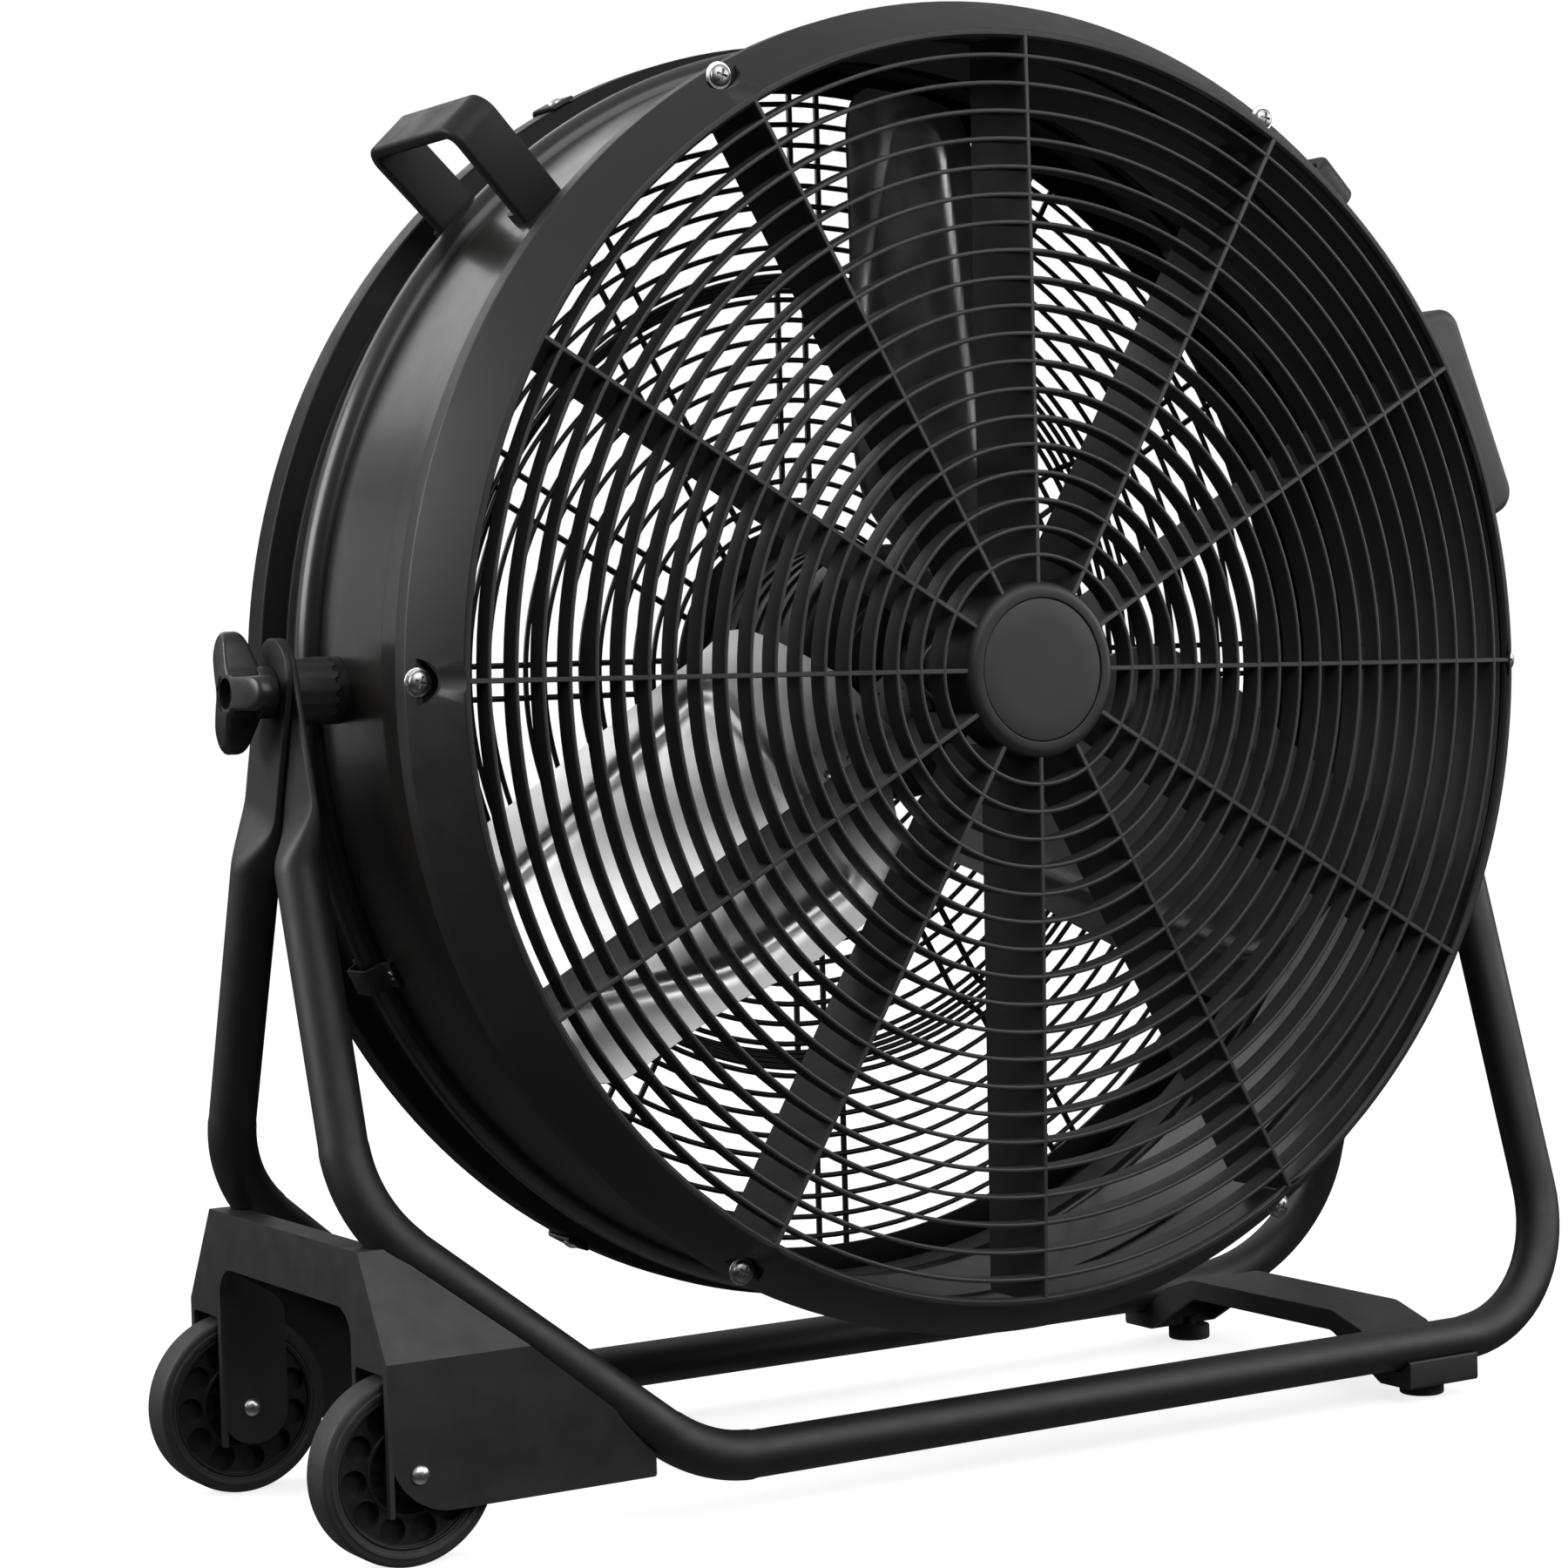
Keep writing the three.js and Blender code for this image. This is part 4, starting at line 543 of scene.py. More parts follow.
def look(name, dark, light, roughness, metallic=0.0, blotch=9.0, grain=1400.0, relief=0.00004,
         rough_spread=0.07, worn=None, coat=0.0, streaks=0.0, specular=0.5):
    """A finish whose colour, gloss and relief vary as the real one's do."""
    material = bpy.data.materials.new(name)
    material.use_nodes = True
    tree = material.node_tree
    coords = add_node(tree, "ShaderNodeTexCoord").outputs["Object"]

    def noise(scale, detail):
        made = add_node(tree, "ShaderNodeTexNoise", Vector=coords, Scale=scale, Detail=detail, Roughness=0.6)
        return made.outputs["Fac"]

    colour = add_ramp(tree, noise(blotch, 5), ((0.3, dark), (0.72, light)))
    if worn:
        pointed = add_node(tree, "ShaderNodeNewGeometry").outputs["Pointiness"]
        edges = add_ramp(tree, pointed, ((0.515, (0, 0, 0)), (0.6, (1, 1, 1))))
        mix = add_node(tree, "ShaderNodeMixRGB", Fac=edges, Color1=colour, Color2=(*worn, 1))
        colour = mix.outputs["Color"]
    gloss = add_node(tree, "ShaderNodeMapRange", Value=noise(blotch * 6, 6), From_Min=0.3, From_Max=0.7,
                     To_Min=max(0.02, roughness - rough_spread), To_Max=min(1.0, roughness + rough_spread))
    bump = add_node(tree, "ShaderNodeBump", Strength=1.0, Distance=relief, Height=noise(grain, 3))
    if streaks:
        bump = brushed_bump(tree, streaks, bump)
    wire(tree, tree.nodes["Principled BSDF"], Metallic=metallic, Coat_Weight=coat, Coat_Roughness=0.12,
         Specular_IOR_Level=specular, Base_Color=colour, Roughness=gloss.outputs["Result"],
         Normal=bump.outputs["Normal"])
    return material


FINISHES = {
    "drum_paint": dict(dark=grey(0.008, 0.1), light=grey(0.012, 0.1), roughness=0.3, relief=0.000008,
                       grain=420, rough_spread=0.03, coat=0.12, worn=grey(0.03)),
    # painted shade: a darker, duller copy of the drum paint for the rear rim and groove, which are the same
    # painted sheet as the band
    "rim_painted_shade": dict(dark=grey(0.006), light=grey(0.009), roughness=0.4, relief=0.00001, grain=420,
                      worn=grey(0.03), specular=0.12),
    "powder_coat": dict(dark=grey(0.0065), light=grey(0.0105), roughness=0.52, grain=1500,
                        relief=0.00005, worn=grey(0.03)),
    "guard_wire": dict(dark=grey(0.005), light=grey(0.008), roughness=0.36, grain=700, relief=0.00003),
    "motor_paint": dict(dark=grey(0.007), light=grey(0.011), roughness=0.42, grain=800, relief=0.00006),
    "grille_plastic": dict(dark=grey(0.012, 0.04), light=grey(0.016, 0.04), roughness=0.44, grain=2200,
                           rough_spread=0.05, worn=grey(0.05), specular=0.4),
    "badge_plastic": dict(dark=grey(0.017), light=grey(0.021), roughness=0.5, grain=2600),
    "control_plastic": dict(dark=grey(0.018), light=grey(0.024), roughness=0.5, grain=1800,
                            relief=0.00005, worn=grey(0.05)),
    "handle_plastic": dict(dark=grey(0.016, 0.02), light=grey(0.019, 0.02), roughness=0.5, grain=1700,
                           relief=0.00005, worn=grey(0.05), specular=0.25),
    "pivot_plastic": dict(dark=grey(0.011, 0.04), light=grey(0.018, 0.04), roughness=0.34, grain=1300,
                          relief=0.00007, worn=grey(0.04)),
    "wheel_plastic": dict(dark=grey(0.008), light=grey(0.013), roughness=0.4, grain=1300,
                          relief=0.00005, worn=grey(0.03)),
    "rubber": dict(dark=grey(0.012), light=grey(0.020), roughness=0.75, grain=1000, relief=0.00008),
    "tyre": dict(dark=grey(0.015), light=grey(0.030, 0.03), roughness=0.6, blotch=24, grain=900,
                 relief=0.00009, worn=grey(0.05)),
    "zinc": dict(dark=(0.66, 0.66, 0.68), light=(0.86, 0.85, 0.83), roughness=0.28, metallic=1.0,
                 blotch=160, grain=1200, relief=0.00001, rough_spread=0.1),
    "steel": dict(dark=(0.32, 0.32, 0.33), light=(0.46, 0.45, 0.44), roughness=0.34, metallic=1.0,
                  blotch=60, grain=1600, relief=0.00001, rough_spread=0.1),
    "aluminium": dict(dark=(0.74, 0.74, 0.74), light=(0.88, 0.88, 0.87), roughness=0.36, metallic=1.0,
                      blotch=7, grain=1500, relief=0.000004, rough_spread=0.06, streaks=0.000006),
    "iron_core": dict(dark=(0.25, 0.13, 0.08), light=(0.4, 0.22, 0.13), roughness=0.45, metallic=1.0,
                      blotch=40, grain=900, relief=0.0001),
}
LOOKS = {name: look(name, **finish) for name, finish in FINISHES.items()}


# Drum
def drum_line():
    """The outer face of the rolled ring, as (radius, y, corner) points."""
    d = DRUM
    raised = d.radius + d.raised_step
    line = [
        (NECK, d.front_y, 0), (NECK, d.joggle_y, d.joggle_corner),
        (raised, d.joggle_y + d.joggle_length, d.joggle_corner),
        (raised, d.step_y - d.raised_step / 2, d.step_corner),
        (d.radius, d.step_y + d.raised_step / 2, d.step_corner),
    ]
    for a in angles(math.pi, d.bead_steps):
        rise = d.groove_step * a / math.pi + (d.bead_height - d.groove_step / 2) * math.sin(a)
        line.append((d.radius + rise, d.bead_y - d.bead_half * math.cos(a), 0))
    return [
        *line, (d.radius + d.groove_step, d.rim_y - d.rim_round, d.rim_corner),
        (RIM, d.rim_y + d.rim_round, d.rim_corner), (RIM, d.depth, d.back_corner), (FLANGE, d.depth, 0),
    ]


def drum_room():
    """The drum as a full body, to trim what is seated on it."""
    outline = [(r + SUNK, y) for r, y in rounded(drum_line(), steps=4)]
    return shape(lathe, [(0, outline[0][1]), *outline, (0, outline[-1][1])], DRUM.segments)


def make_drum():
    d, s = DRUM, SCREW
    bm = shape(lathe, sheet_outline(drum_line(), d.sheet), d.segments)
    front = s.seat + GRILLE.wall + GAP
    tab = shape(block, (NECK - s.tab_sunk, front, -s.tab),
                (GRILLE.skirt - GRILLE.wall - s.tab_gap, front + s.tab_sheet, s.tab))
    merge(bm, tab, around(s.count, GRILLE.turn))
    # Faces behind the bead take the second slot, a darker and less glossy copy of the drum paint: painted
    # shade on the rim and groove
    for face in bm.faces:
        if face.calc_center_median().y > d.bead_y + d.bead_half:
            face.material_index = 1
    add_piece("drum", bm, AT_HEAD, ["drum_paint", "rim_painted_shade"], "drum_shell", smooth=30)


# Front grille
def dome_y(radius):
    return -GRILLE.dome * (1 - (radius / GRILLE.lip) ** 2)


def scoops(half, sink, front, back):
    """The rooms of all screws: round-bottomed channels along the axis that slope up to their seats."""
    s = SCREW
    top = GRILLE.lip + s.scoop_lip - GRILLE.wall + OVERRUN * 4
    level = DRUM.front_y - GAP
    sections = []
    for y in (front, 0, level / 2, level, back):
        floor = min(SEAT, SEAT - s.scoop_lip * (1 - y / level)) - sink
        arc = [(floor + half * (1 - math.sin(a)), y, half * math.cos(a))
               for a in angles(math.pi, s.scoop_steps)]
        sections.append([*arc, (top, y, -half), (top, y, half)])
    bm = bmesh.new()
    merge(bm, shape(loft, sections), around(s.count))
    return bm


def grille_skirt():
    g, s = GRILLE, SCREW
    back = g.skirt_depth + g.hem
    inner = g.skirt - g.wall
    skirt = shape(lathe, rounded([
        *[(g.lip + out, y, corner) for out, y, corner in LIP_FRONT],
        (g.skirt, g.skirt_depth, g.skirt_corner), (g.skirt, back, g.hem_corner),
        (inner, back, g.hem_corner), (inner, g.skirt_depth + g.inner_drop, g.inner_corner),
        *[(g.lip + out, y, corner) for out, y, corner in LIP_BACK]], steps=6), g.segments)
    core = shape(lathe, [
        (g.lip - s.pad_reach, s.pad_front), (g.lip - s.pad_lip_inset, s.pad_front),
        (g.skirt - s.pad_skirt_inset, g.skirt_depth), (g.lip - s.pad_reach, g.skirt_depth)], g.segments)
    pads = scoops(s.scoop_half + g.wall, g.wall, s.pad_front, s.seat + g.wall)
    pads = boolean(pads, [core], "INTERSECT")
    return boolean(boolean(skirt, [pads], "UNION"), [scoops(s.scoop_half, 0, -1, s.seat)])


def grille_hub(bm):
    g = GRILLE
    floor = HUB_Y + g.badge_sink + g.badge_thickness + GAP
    well = g.badge + g.well_gap
    inner = g.hub - g.wall
    lathe(bm, rounded([
        (0, floor, 0), (well, floor, 0), (well, HUB_Y, g.well_corner), (g.hub, HUB_Y, g.hub_corner),
        (g.hub, g.hub_depth, g.hub_edge), (inner, g.hub_depth, g.hub_edge),
        (inner, floor + g.wall, g.floor_corner), (0, floor + g.wall, 0)], steps=6), 96)


def grille_rib(bm):
    """A rib along X, with its front edge chamfered, from hub to skirt."""
    g = GRILLE
    inner = g.hub - g.wall / 2
    outer = g.lip - g.wall
    shoulder = DRUM.front_y - GAP
    reach = NECK - DRUM.sheet - g.rib_inset
    fronts = [inner + (outer - inner) * k / g.rib_stations for k in range(g.rib_stations + 1)]
    skirt = [(g.lip + SLOPE * (y - g.rib_lead) - g.rib_inset, y) for y in (g.rib_front, shoulder)]
    half = g.rib_thickness / 2
    sections = []
    for z, inset in ((-half, g.rib_chamfer), (-half + g.rib_chamfer, g.rib_ease),
                     (half - g.rib_chamfer, g.rib_ease), (half, g.rib_chamfer)):
        outline = [
            *[(r, dome_y(r) + inset) for r in fronts], *skirt, (reach, shoulder),
            (reach, g.rib_depth - inset), (inner, g.rib_depth - inset)]
        sections.append([(x, y, z) for x, y in outline])
    loft(bm, sections)


def grille_ring(bm, radius):
    """A thin hoop, widest and rounded at its front edge."""
    g = GRILLE
    front, back = g.ring_front / 2, g.ring_back / 2
    y = dome_y(radius)
    lathe(bm, [
        *[(radius - front * share, y + drop) for share, drop in RING_NOSE],
        *[(radius + front * share, y + drop) for share, drop in RING_NOSE[::-1]],
        (radius + back, y + g.ring_depth), (radius - back, y + g.ring_depth),
    ], g.segments)


def make_grille():
    g = GRILLE
    bm = grille_skirt()
    grille_hub(bm)
    for k in range(g.rings):
        grille_ring(bm, g.first_ring + g.ring_pitch * k)
    merge(bm, shape(grille_rib), around(g.ribs))
    add_piece("grille", bm, AT_CAP, ["grille_plastic"], "front_grille", smooth=32)

    front = HUB_Y + g.badge_sink
    back = front + g.badge_thickness
    face = [(g.badge * share, front + drop, corner) for share, drop, corner in BADGE_FACE]
    badge = rounded([*face, (g.badge, back, g.badge_edge), (0, back, 0)], steps=4)
    add_piece("badge", shape(lathe, badge, 96), AT_CAP, ["badge_plastic"], "hub_badge")


def make_grille_screws():
    s = SCREW
    top = s.washer_thickness
    head = pan_head(s.head, s.head_height, top)
    for k, way in enumerate(around(s.count)):
        bm = shape(disc, s.washer, 0, top, 40, "X", s.washer_corners)
        disc(bm, s.shank, -s.length, 0, 16, "X")
        merge(bm, head.copy(), mat=1)
        place = AT_CAP @ way @ move(s.ring, s.seat, 0) @ turn(-90, "Z") @ turn(s.twist * k, "X")
        add_piece(f"screw_{k + 1}", bm, place, ["zinc", "steel"], f"grille_screw_{k + 1}")
    head.free()


# Rear guard
def wire_ring(bm, radius, y):
    g = GUARD
    outline = [(radius + out, y + along) for out, along in circle(g.ring_wire / 2, g.sides)]
    lathe(bm, outline, g.segments)


def wire_rings(bm, radius, least, y):
    """Rings at an even pitch, from one radius down to another."""
    while radius > least:
        wire_ring(bm, radius, y)
        radius -= GUARD.pitch


def make_guard():
    g = GUARD
    outside, inside = g.step_radius + g.step_half, g.step_radius - g.step_half
    bm = shape(wire_ring, FLANGE + g.outer_lap - g.wire / 2, GUARD_Y)
    wire_rings(bm, FLANGE - g.pitch / 2, outside + g.end_room, GUARD_Y - RING_BACK)
    for k in range(g.wall_rings):
        share = (k + 0.5) / g.wall_rings
        wire_ring(bm, g.step_radius + g.step_half * (1 - 2 * share) - RING_BACK,
                  GUARD_Y - RING_BACK / 2 + g.step_back * share)
    wire_rings(bm, inside - g.pitch / 2, g.centre - g.end_room, DISC_Y - RING_BACK)
    path = rounded([
        (FLANGE + g.outer_lap, GUARD_Y, 0), (outside, GUARD_Y, g.step_corner),
        (inside, DISC_Y, g.step_corner), (g.centre - g.wire, DISC_Y, 0)], steps=5)
    spoke = shape(sweep, path, [oval(g.arm_wire / 2, g.arm_wire / 2, g.sides)])
    merge(bm, spoke, [way @ move(0, 0, side * g.arm_pitch) for side in (-0.5, 0.5)
                      for way in around(g.arms)])
    add_piece("guard", bm, AT_HEAD, ["guard_wire"], "rear_guard", smooth=50)


def make_guard_clips():
    c = CLIP
    outer = RIM + GAP + c.thickness
    top = outer - c.thickness / 2
    back = DRUM.depth + 2 * GAP + GUARD.wire + c.thickness / 2
    path = rounded([
        (top, DRUM.depth - c.hold, 0), (top, back, c.corner),
        (FLANGE + GUARD.outer_lap - GUARD.wire - c.reach / 2, back, 0)], steps=6)
    section = bar_section(c.thickness / 2, c.width / 2, c.edge)
    for k, angle in enumerate(c.angles):
        bm = shape(sweep, path, [section])
        merge(bm, shape(rivet_head, c.rivet, c.rivet_height, outer - SUNK),
              [move(0, DRUM.depth - c.rivet_inset, 0)], mat=1)
        add_piece(f"clip_{k + 1}", bm, AT_HEAD @ outward(angle), ["powder_coat", "zinc"],
                  f"guard_clip_{k + 1}")


# Motor
def motor_line():
    """The outline of the motor housing, with its cooling grooves and its open back."""
    m = MOTOR
    inside, bore = m.radius - m.wall, m.shaft + m.bore_gap
    low, high = m.nose
    line = [(bore, MOTOR_FRONT, 0), (m.radius * low, MOTOR_FRONT, m.nose_corner),
            (m.radius * high, MOTOR_FRONT + m.nose_step, m.nose_corner),
            (m.radius, MOTOR_FRONT + m.nose_step, m.corner)]
    for k in range(m.grooves):
        start = MOTOR_FRONT + m.groove_start + m.groove_pitch * k
        line += [(m.radius - m.groove_depth * share, start + y, m.edge) for y, share in GROOVE]
    return rounded([
        *line, (m.radius, CAP_FRONT - GAP, m.edge), (inside, CAP_FRONT - GAP, 0),
        (inside, MOTOR_FRONT + m.floor, 0), (bore, MOTOR_FRONT + m.floor, 0)], steps=4)


def make_motor():
    m = MOTOR
    inside = m.radius - m.wall
    add_piece("motor", shape(lathe, motor_line(), 96), AT_HEAD, ["motor_paint"], "motor_housing")
    cap = rounded([
        (0, CAP_BACK, 0), (m.radius, CAP_BACK, m.cap_corner), (m.radius, CAP_FRONT, m.cap_edge),
        (inside, CAP_FRONT, 0), (inside, CAP_BACK - m.wall, 0), (0, CAP_BACK - m.wall, 0)], steps=5)
    add_piece("motor_cap", shape(lathe, cap, 96), AT_HEAD, ["motor_paint"], "motor_end_cap")
    plate = shape(disc, m.plate, PLATE_FRONT, PLATE_BACK, 96, corners=(m.edge, m.edge))
    add_piece("mount_plate", plate, AT_HEAD, ["powder_coat"], "motor_plate")

    seat = DISC_Y + GUARD.wire / 2 + GAP
    top = seat + m.washer_thickness
    for k, angle in enumerate(m.bolt_angles):
        bm = shape(disc, m.bolt_washer, seat, top, 36, corners=m.washer_corners)
        disc(bm, m.bolt, PLATE_BACK, seat, 16)
        hexagon(bm, m.bolt_head, top, m.bolt_height)
        place = AT_HEAD @ outward(angle) @ move(m.bolt_circle, 0, 0)
        add_piece(f"mount_bolt_{k + 1}", bm, place, ["zinc"], f"motor_bolt_{k + 1}")


# Rotor
def smooth_shares(steps):
    """The blade's outline shares, drawn as one smooth curve through the given ones."""
    rows = [Vector(share) for share in BLADE_SHARES]
    made = []
    for i, (a, b) in enumerate(zip(rows, rows[1:])):
        before = rows[max(i - 1, 0)]
        after = rows[min(i + 2, len(rows) - 1)]
        for k in range(steps):
            t = k / steps
            made.append(0.5 * (2 * a + (b - before) * t + (2 * before - 5 * a + 4 * b - after) * t ** 2
                               + (3 * a - before - 3 * b + after) * t ** 3))
    return [*made, rows[-1]]


def distance_to_loop(point, loop):
    nearest = math.inf
    for a, b in zip(loop, [*loop[1:], loop[0]]):
        along = b - a
        t = max(0, min(1, (point - a).dot(along) / max(along.length_squared, TINY)))
        nearest = min(nearest, (point - a - along * t).length_squared)
    return math.sqrt(nearest)


def grid_border(grid):
    """The points round the edge of a grid of rows, in order."""
    return [*[row[-1] for row in grid], *grid[-1][-2::-1], *[row[0] for row in grid[-2::-1]],
            *grid[0][1:-1]]


def blade(bm):
    """A cambered sheet along X with its pressed ridge, and its flat span as a map for the grain."""
    r = ROTOR
    secant = 1 / math.cos(math.radians(r.pitch))
    loop = [Vector(point) for point in rounded(RIDGE)]
    uv_layer = bm.loops.layers.uv.new("span")
    flat = {}
    grids = {-1: [], 1: []}
    for span_share, lead_share, trail_share in smooth_shares(r.share_steps):
        out = span_share * r.tip
        for grid in grids.values():
            grid.append([])
        for j in range(r.columns + 1):
            across = j / r.columns
            ahead = r.lead * lead_share * across - r.trail * trail_share * (1 - across)
            away = distance_to_loop(Vector((out, ahead)), loop)
            raised = r.ridge_height * math.exp(-((away / r.ridge_width) ** 2))
            bend = r.camber * (ahead / r.lead) ** 2
            for side, grid in grids.items():
                vert = bm.verts.new((out, side * r.sheet / 2 - bend - raised, -ahead * secant))
                flat[vert] = (out * MM, ahead * MM)
                grid[-1].append(vert)
    for grid in grids.values():
        for a, b in zip(grid, grid[1:]):
            for j in range(r.columns):
                bm.faces.new((a[j], a[j + 1], b[j + 1], b[j]))
    band(bm, *[grid_border(grid) for grid in grids.values()])
    for face in bm.faces:
        for corner in face.loops:
            corner[uv_layer].uv = flat[corner.vert]


def make_rotor():
    r = ROTOR
    half = r.collar_length / 2
    hub = shape(disc, r.collar, BLADE_Y - half, BLADE_Y + half, 64,
                corners=(r.collar_corner, r.collar_corner), steps=4, bore=MOTOR.shaft + GAP)
    back = r.sheet / 2 + GAP
    side = r.arm_width / 2
    arm = shape(prism, rounded([
        (r.arm_root, -side, 0), (r.arm_length, -side, r.arm_corner), (r.arm_length, side, r.arm_corner),
        (r.arm_root, side, 0)], steps=6), "Y", back, r.arm_sheet)
    rivets = bmesh.new()
    merge(rivets, shape(rivet_head, r.rivet, r.rivet_height, 0), [
        move(out, base - way * SUNK, z) @ turn(90 * way, "Z")
        for out in r.rivet_rows for z in (-r.rivet_half, r.rivet_half)
        for way, base in ((-1, -r.sheet / 2), (1, back + r.arm_sheet))])
    places = [way @ move(0, BLADE_Y, 0) @ turn(r.pitch, "X") for way in around(r.blades, r.first)]
    for k, place in enumerate(places):
        add_piece(f"fan_blade_{k + 1}", shape(blade), AT_HEAD @ place, ["aluminium"], f"blade_{k + 1}",
                  smooth=60)
    merge(hub, arm, places)
    add_piece("spider", hub, AT_HEAD, ["steel"], "blade_hub")
    fixings = bmesh.new()
    merge(fixings, rivets, places)
    add_piece("blade_rivets", fixings, AT_HEAD, ["zinc"], body="rotor")
    nut = shape(hexagon, r.nut_across, 0, r.nut_length)
    add_piece("spider_nut", nut, AT_HEAD @ move(0, BLADE_Y - half - GAP, 0) @ turn(180, "X"), ["zinc"],
              "hub_nut")


# Handles
def make_handles():
    h = HANDLE
    reach = h.inset - h.thickness / 2
    top = DRUM.radius + h.rise - h.thickness / 2
    inner = DRUM.radius - h.sunk
    path = rounded([(inner, -reach, 0), (top, -reach - h.flare, h.corner), (top, reach + h.flare, h.corner),
                    (inner, reach, 0)], steps=10)
    section = bar_section(h.thickness / 2, h.width / 2, h.edge, steps=4)
    foot_top = DRUM.radius + DRUM.groove_step + h.foot_thickness
    half = h.width / 2 - h.foot_inset
    for name, angle in zip(("right", "left"), h.angles):
        bm = shape(sweep, path, [section])
        for y in (-reach, reach):
            foot = rounded([(y, -half, 0), (y + h.foot_length, -half, h.foot_corner),
                            (y + h.foot_length, half, h.foot_corner), (y, half, 0)], steps=5)
            prism(bm, foot, "X", inner, foot_top - inner)
        merge(bm, pan_head(h.screw, h.screw_height, foot_top),
              [move(0, y + h.screw_out, 0) for y in (-reach, reach)], mat=1)
        add_piece(f"grip_{name}", bm, AT_CAP @ outward(angle) @ move(0, PIVOT.y, 0),
                  ["handle_plastic", "zinc"], f"handle_{name}")


# Control box
def box_section(y, inset):
    b = BOX
    root, top = DRUM.radius - b.root_sunk, DRUM.radius + b.rise - inset
    foot, half = b.root_width / 2 - inset, b.width / 2 - inset
    line = rounded([(root, -foot, 0), (top, -half, b.corner), (top, half, b.corner), (root, foot, 0)])
    return [(x, y, z) for x, z in line]


def make_box():
    b = BOX
    top = DRUM.radius + b.rise
    back_y = b.front_y + b.length
    front, rear = [], []
    for a in angles(QUARTER, b.ease_steps):
        inset = b.ease * (1 - math.sin(a))
        depth = b.ease * (1 - math.cos(a))
        front.append(box_section(b.front_y + depth, inset))
        rear.append(box_section(back_y - depth, inset))
    bm = boolean(shape(loft, front + rear[::-1]), [drum_room()])
    side = b.width / 2 - b.screw_side
    merge(bm, pan_head(b.screw, b.screw_height, top - b.screw_sunk),
          [move(0, y, z) for y in (b.front_y + b.screw_end, back_y - b.screw_end) for z in (-side, side)],
          mat=1)
    place = AT_CAP @ outward(b.angle)
    add_piece("switch_box", bm, place, ["control_plastic", "steel"], "control_box", smooth=32)
    make_dial(place @ move(top + GAP, (b.front_y + back_y) / 2, 0))
    make_gland(place @ move(DRUM.radius + b.gland_rise, back_y + GAP, b.gland_z))


def make_dial(place):
    """A fluted knob along X with a pointer line."""
    b = BOX
    sections = []
    for x, share, depth in DIAL:
        ring = []
        for a in angles(TURN, b.flutes * b.flute_steps)[:-1]:
            radius = (b.knob - depth * (1 - math.cos(b.flutes * a)) / 2) * share
            ring.append((x, radius * math.cos(a), radius * math.sin(a)))
        sections.append(ring)
    bm = shape(loft, sections)
    top = DIAL[-1][0]
    block(bm, (top - b.pointer_proud, -b.knob * b.pointer, -b.pointer_half),
          (top + b.pointer_proud, 0, b.pointer_half), mat=1)
    add_piece("dial", bm, place, ["control_plastic", "badge_plastic"], "speed_knob")


def make_gland(place):
    b = BOX
    neck = b.gland - b.gland_flange
    line = [(neck - b.wall, -b.gland_root, 0), (neck, -b.gland_root, 0), (neck, 0, 0),
            (b.gland, 0, b.gland_corner), (b.gland, b.gland_flange, 2 * b.gland_corner)]
    for k in range(b.gland_rings):
        start = b.gland_flange + b.gland_first + b.gland_pitch * k
        line += [(neck + rise, start + y, b.gland_edge) for y, rise in GLAND_RING]
    line += [(neck, b.gland_length, b.gland_corner), (neck - b.wall, b.gland_length, b.gland_corner)]
    add_piece("strain_relief", shape(lathe, rounded(line, steps=3), 40), place, ["rubber"], "cord_gland")


def make_lead_clip():
    c = LEAD
    low = DRUM.radius + c.thickness / 2 + c.lift
    high = DRUM.radius + DRUM.bead_height + c.headroom + c.thickness / 2
    half = DRUM.bead_half + c.thickness
    back = low + c.lower
    path = rounded([
        (low, -half - c.foot, 0), (low, -half, c.foot_corner), (high, -half + c.thickness, c.top_corner),
        (high, half - c.thickness, c.top_corner), (back, half, c.foot_corner), (back, half + c.foot, 0)],
        steps=5)
    bm = shape(sweep, path, [bar_section(c.thickness / 2, c.width / 2, c.edge)])
    out = half + c.foot / 2 + c.screw_out
    merge(bm, pan_head(c.screw, c.screw_height, back), [move(0, y, 0) for y in (-out, out)], mat=1)
    add_piece("lead_strap", bm, AT_HEAD @ outward(c.angle) @ move(0, DRUM.bead_y, 0),
              ["powder_coat", "steel"], "lead_clip")


# Tilt pivots
def toothed(bm, plain_x, crown_x):
    """A ring along X with a crown of teeth at one end."""
    p = PIVOT
    way = 1 if plain_x < crown_x else -1
    sections = []
    for tooth in range(p.teeth):
        for share, up in TOOTH:
            angle = TURN * (tooth + share) / p.teeth
            end = crown_x + way * p.tooth_height * up
            line = [(plain_x, p.bore), (plain_x, p.boss - p.tooth_ease),
                    (plain_x + way * p.tooth_ease, p.boss), (end, p.boss), (end, p.bore)]
            sections.append([(x, r * math.cos(angle), r * math.sin(angle)) for x, r in line])
    loft(bm, sections, closed=True)


def knob_outline():
    """Radius at each angle of a knob with round-ended arms and filleted valleys; one arm faces forward."""
    p = PIVOT
    half = math.pi / p.lobes
    reach = p.knob - p.arm_half
    valley = p.arm_half / math.sin(half)
    middle = valley + p.fillet / math.sin(half)
    blend = math.atan2(p.arm_half, (middle - p.fillet) * p.blend_share)
    made = []
    for angle in angles(TURN, p.outline_steps)[:-1]:
        off = abs((angle + half) % (2 * half) - half)
        side = p.arm_half / max(math.sin(off), TINY)
        if side * math.cos(off) > reach:
            side = reach * math.cos(off) + math.sqrt(p.arm_half ** 2 - (reach * math.sin(off)) ** 2)
        room = p.fillet ** 2 - (middle * math.sin(half - off)) ** 2
        if room > 0 and off > blend:
            side = max(side, middle * math.cos(half - off) - math.sqrt(room))
        made.append((angle, side))
    return made


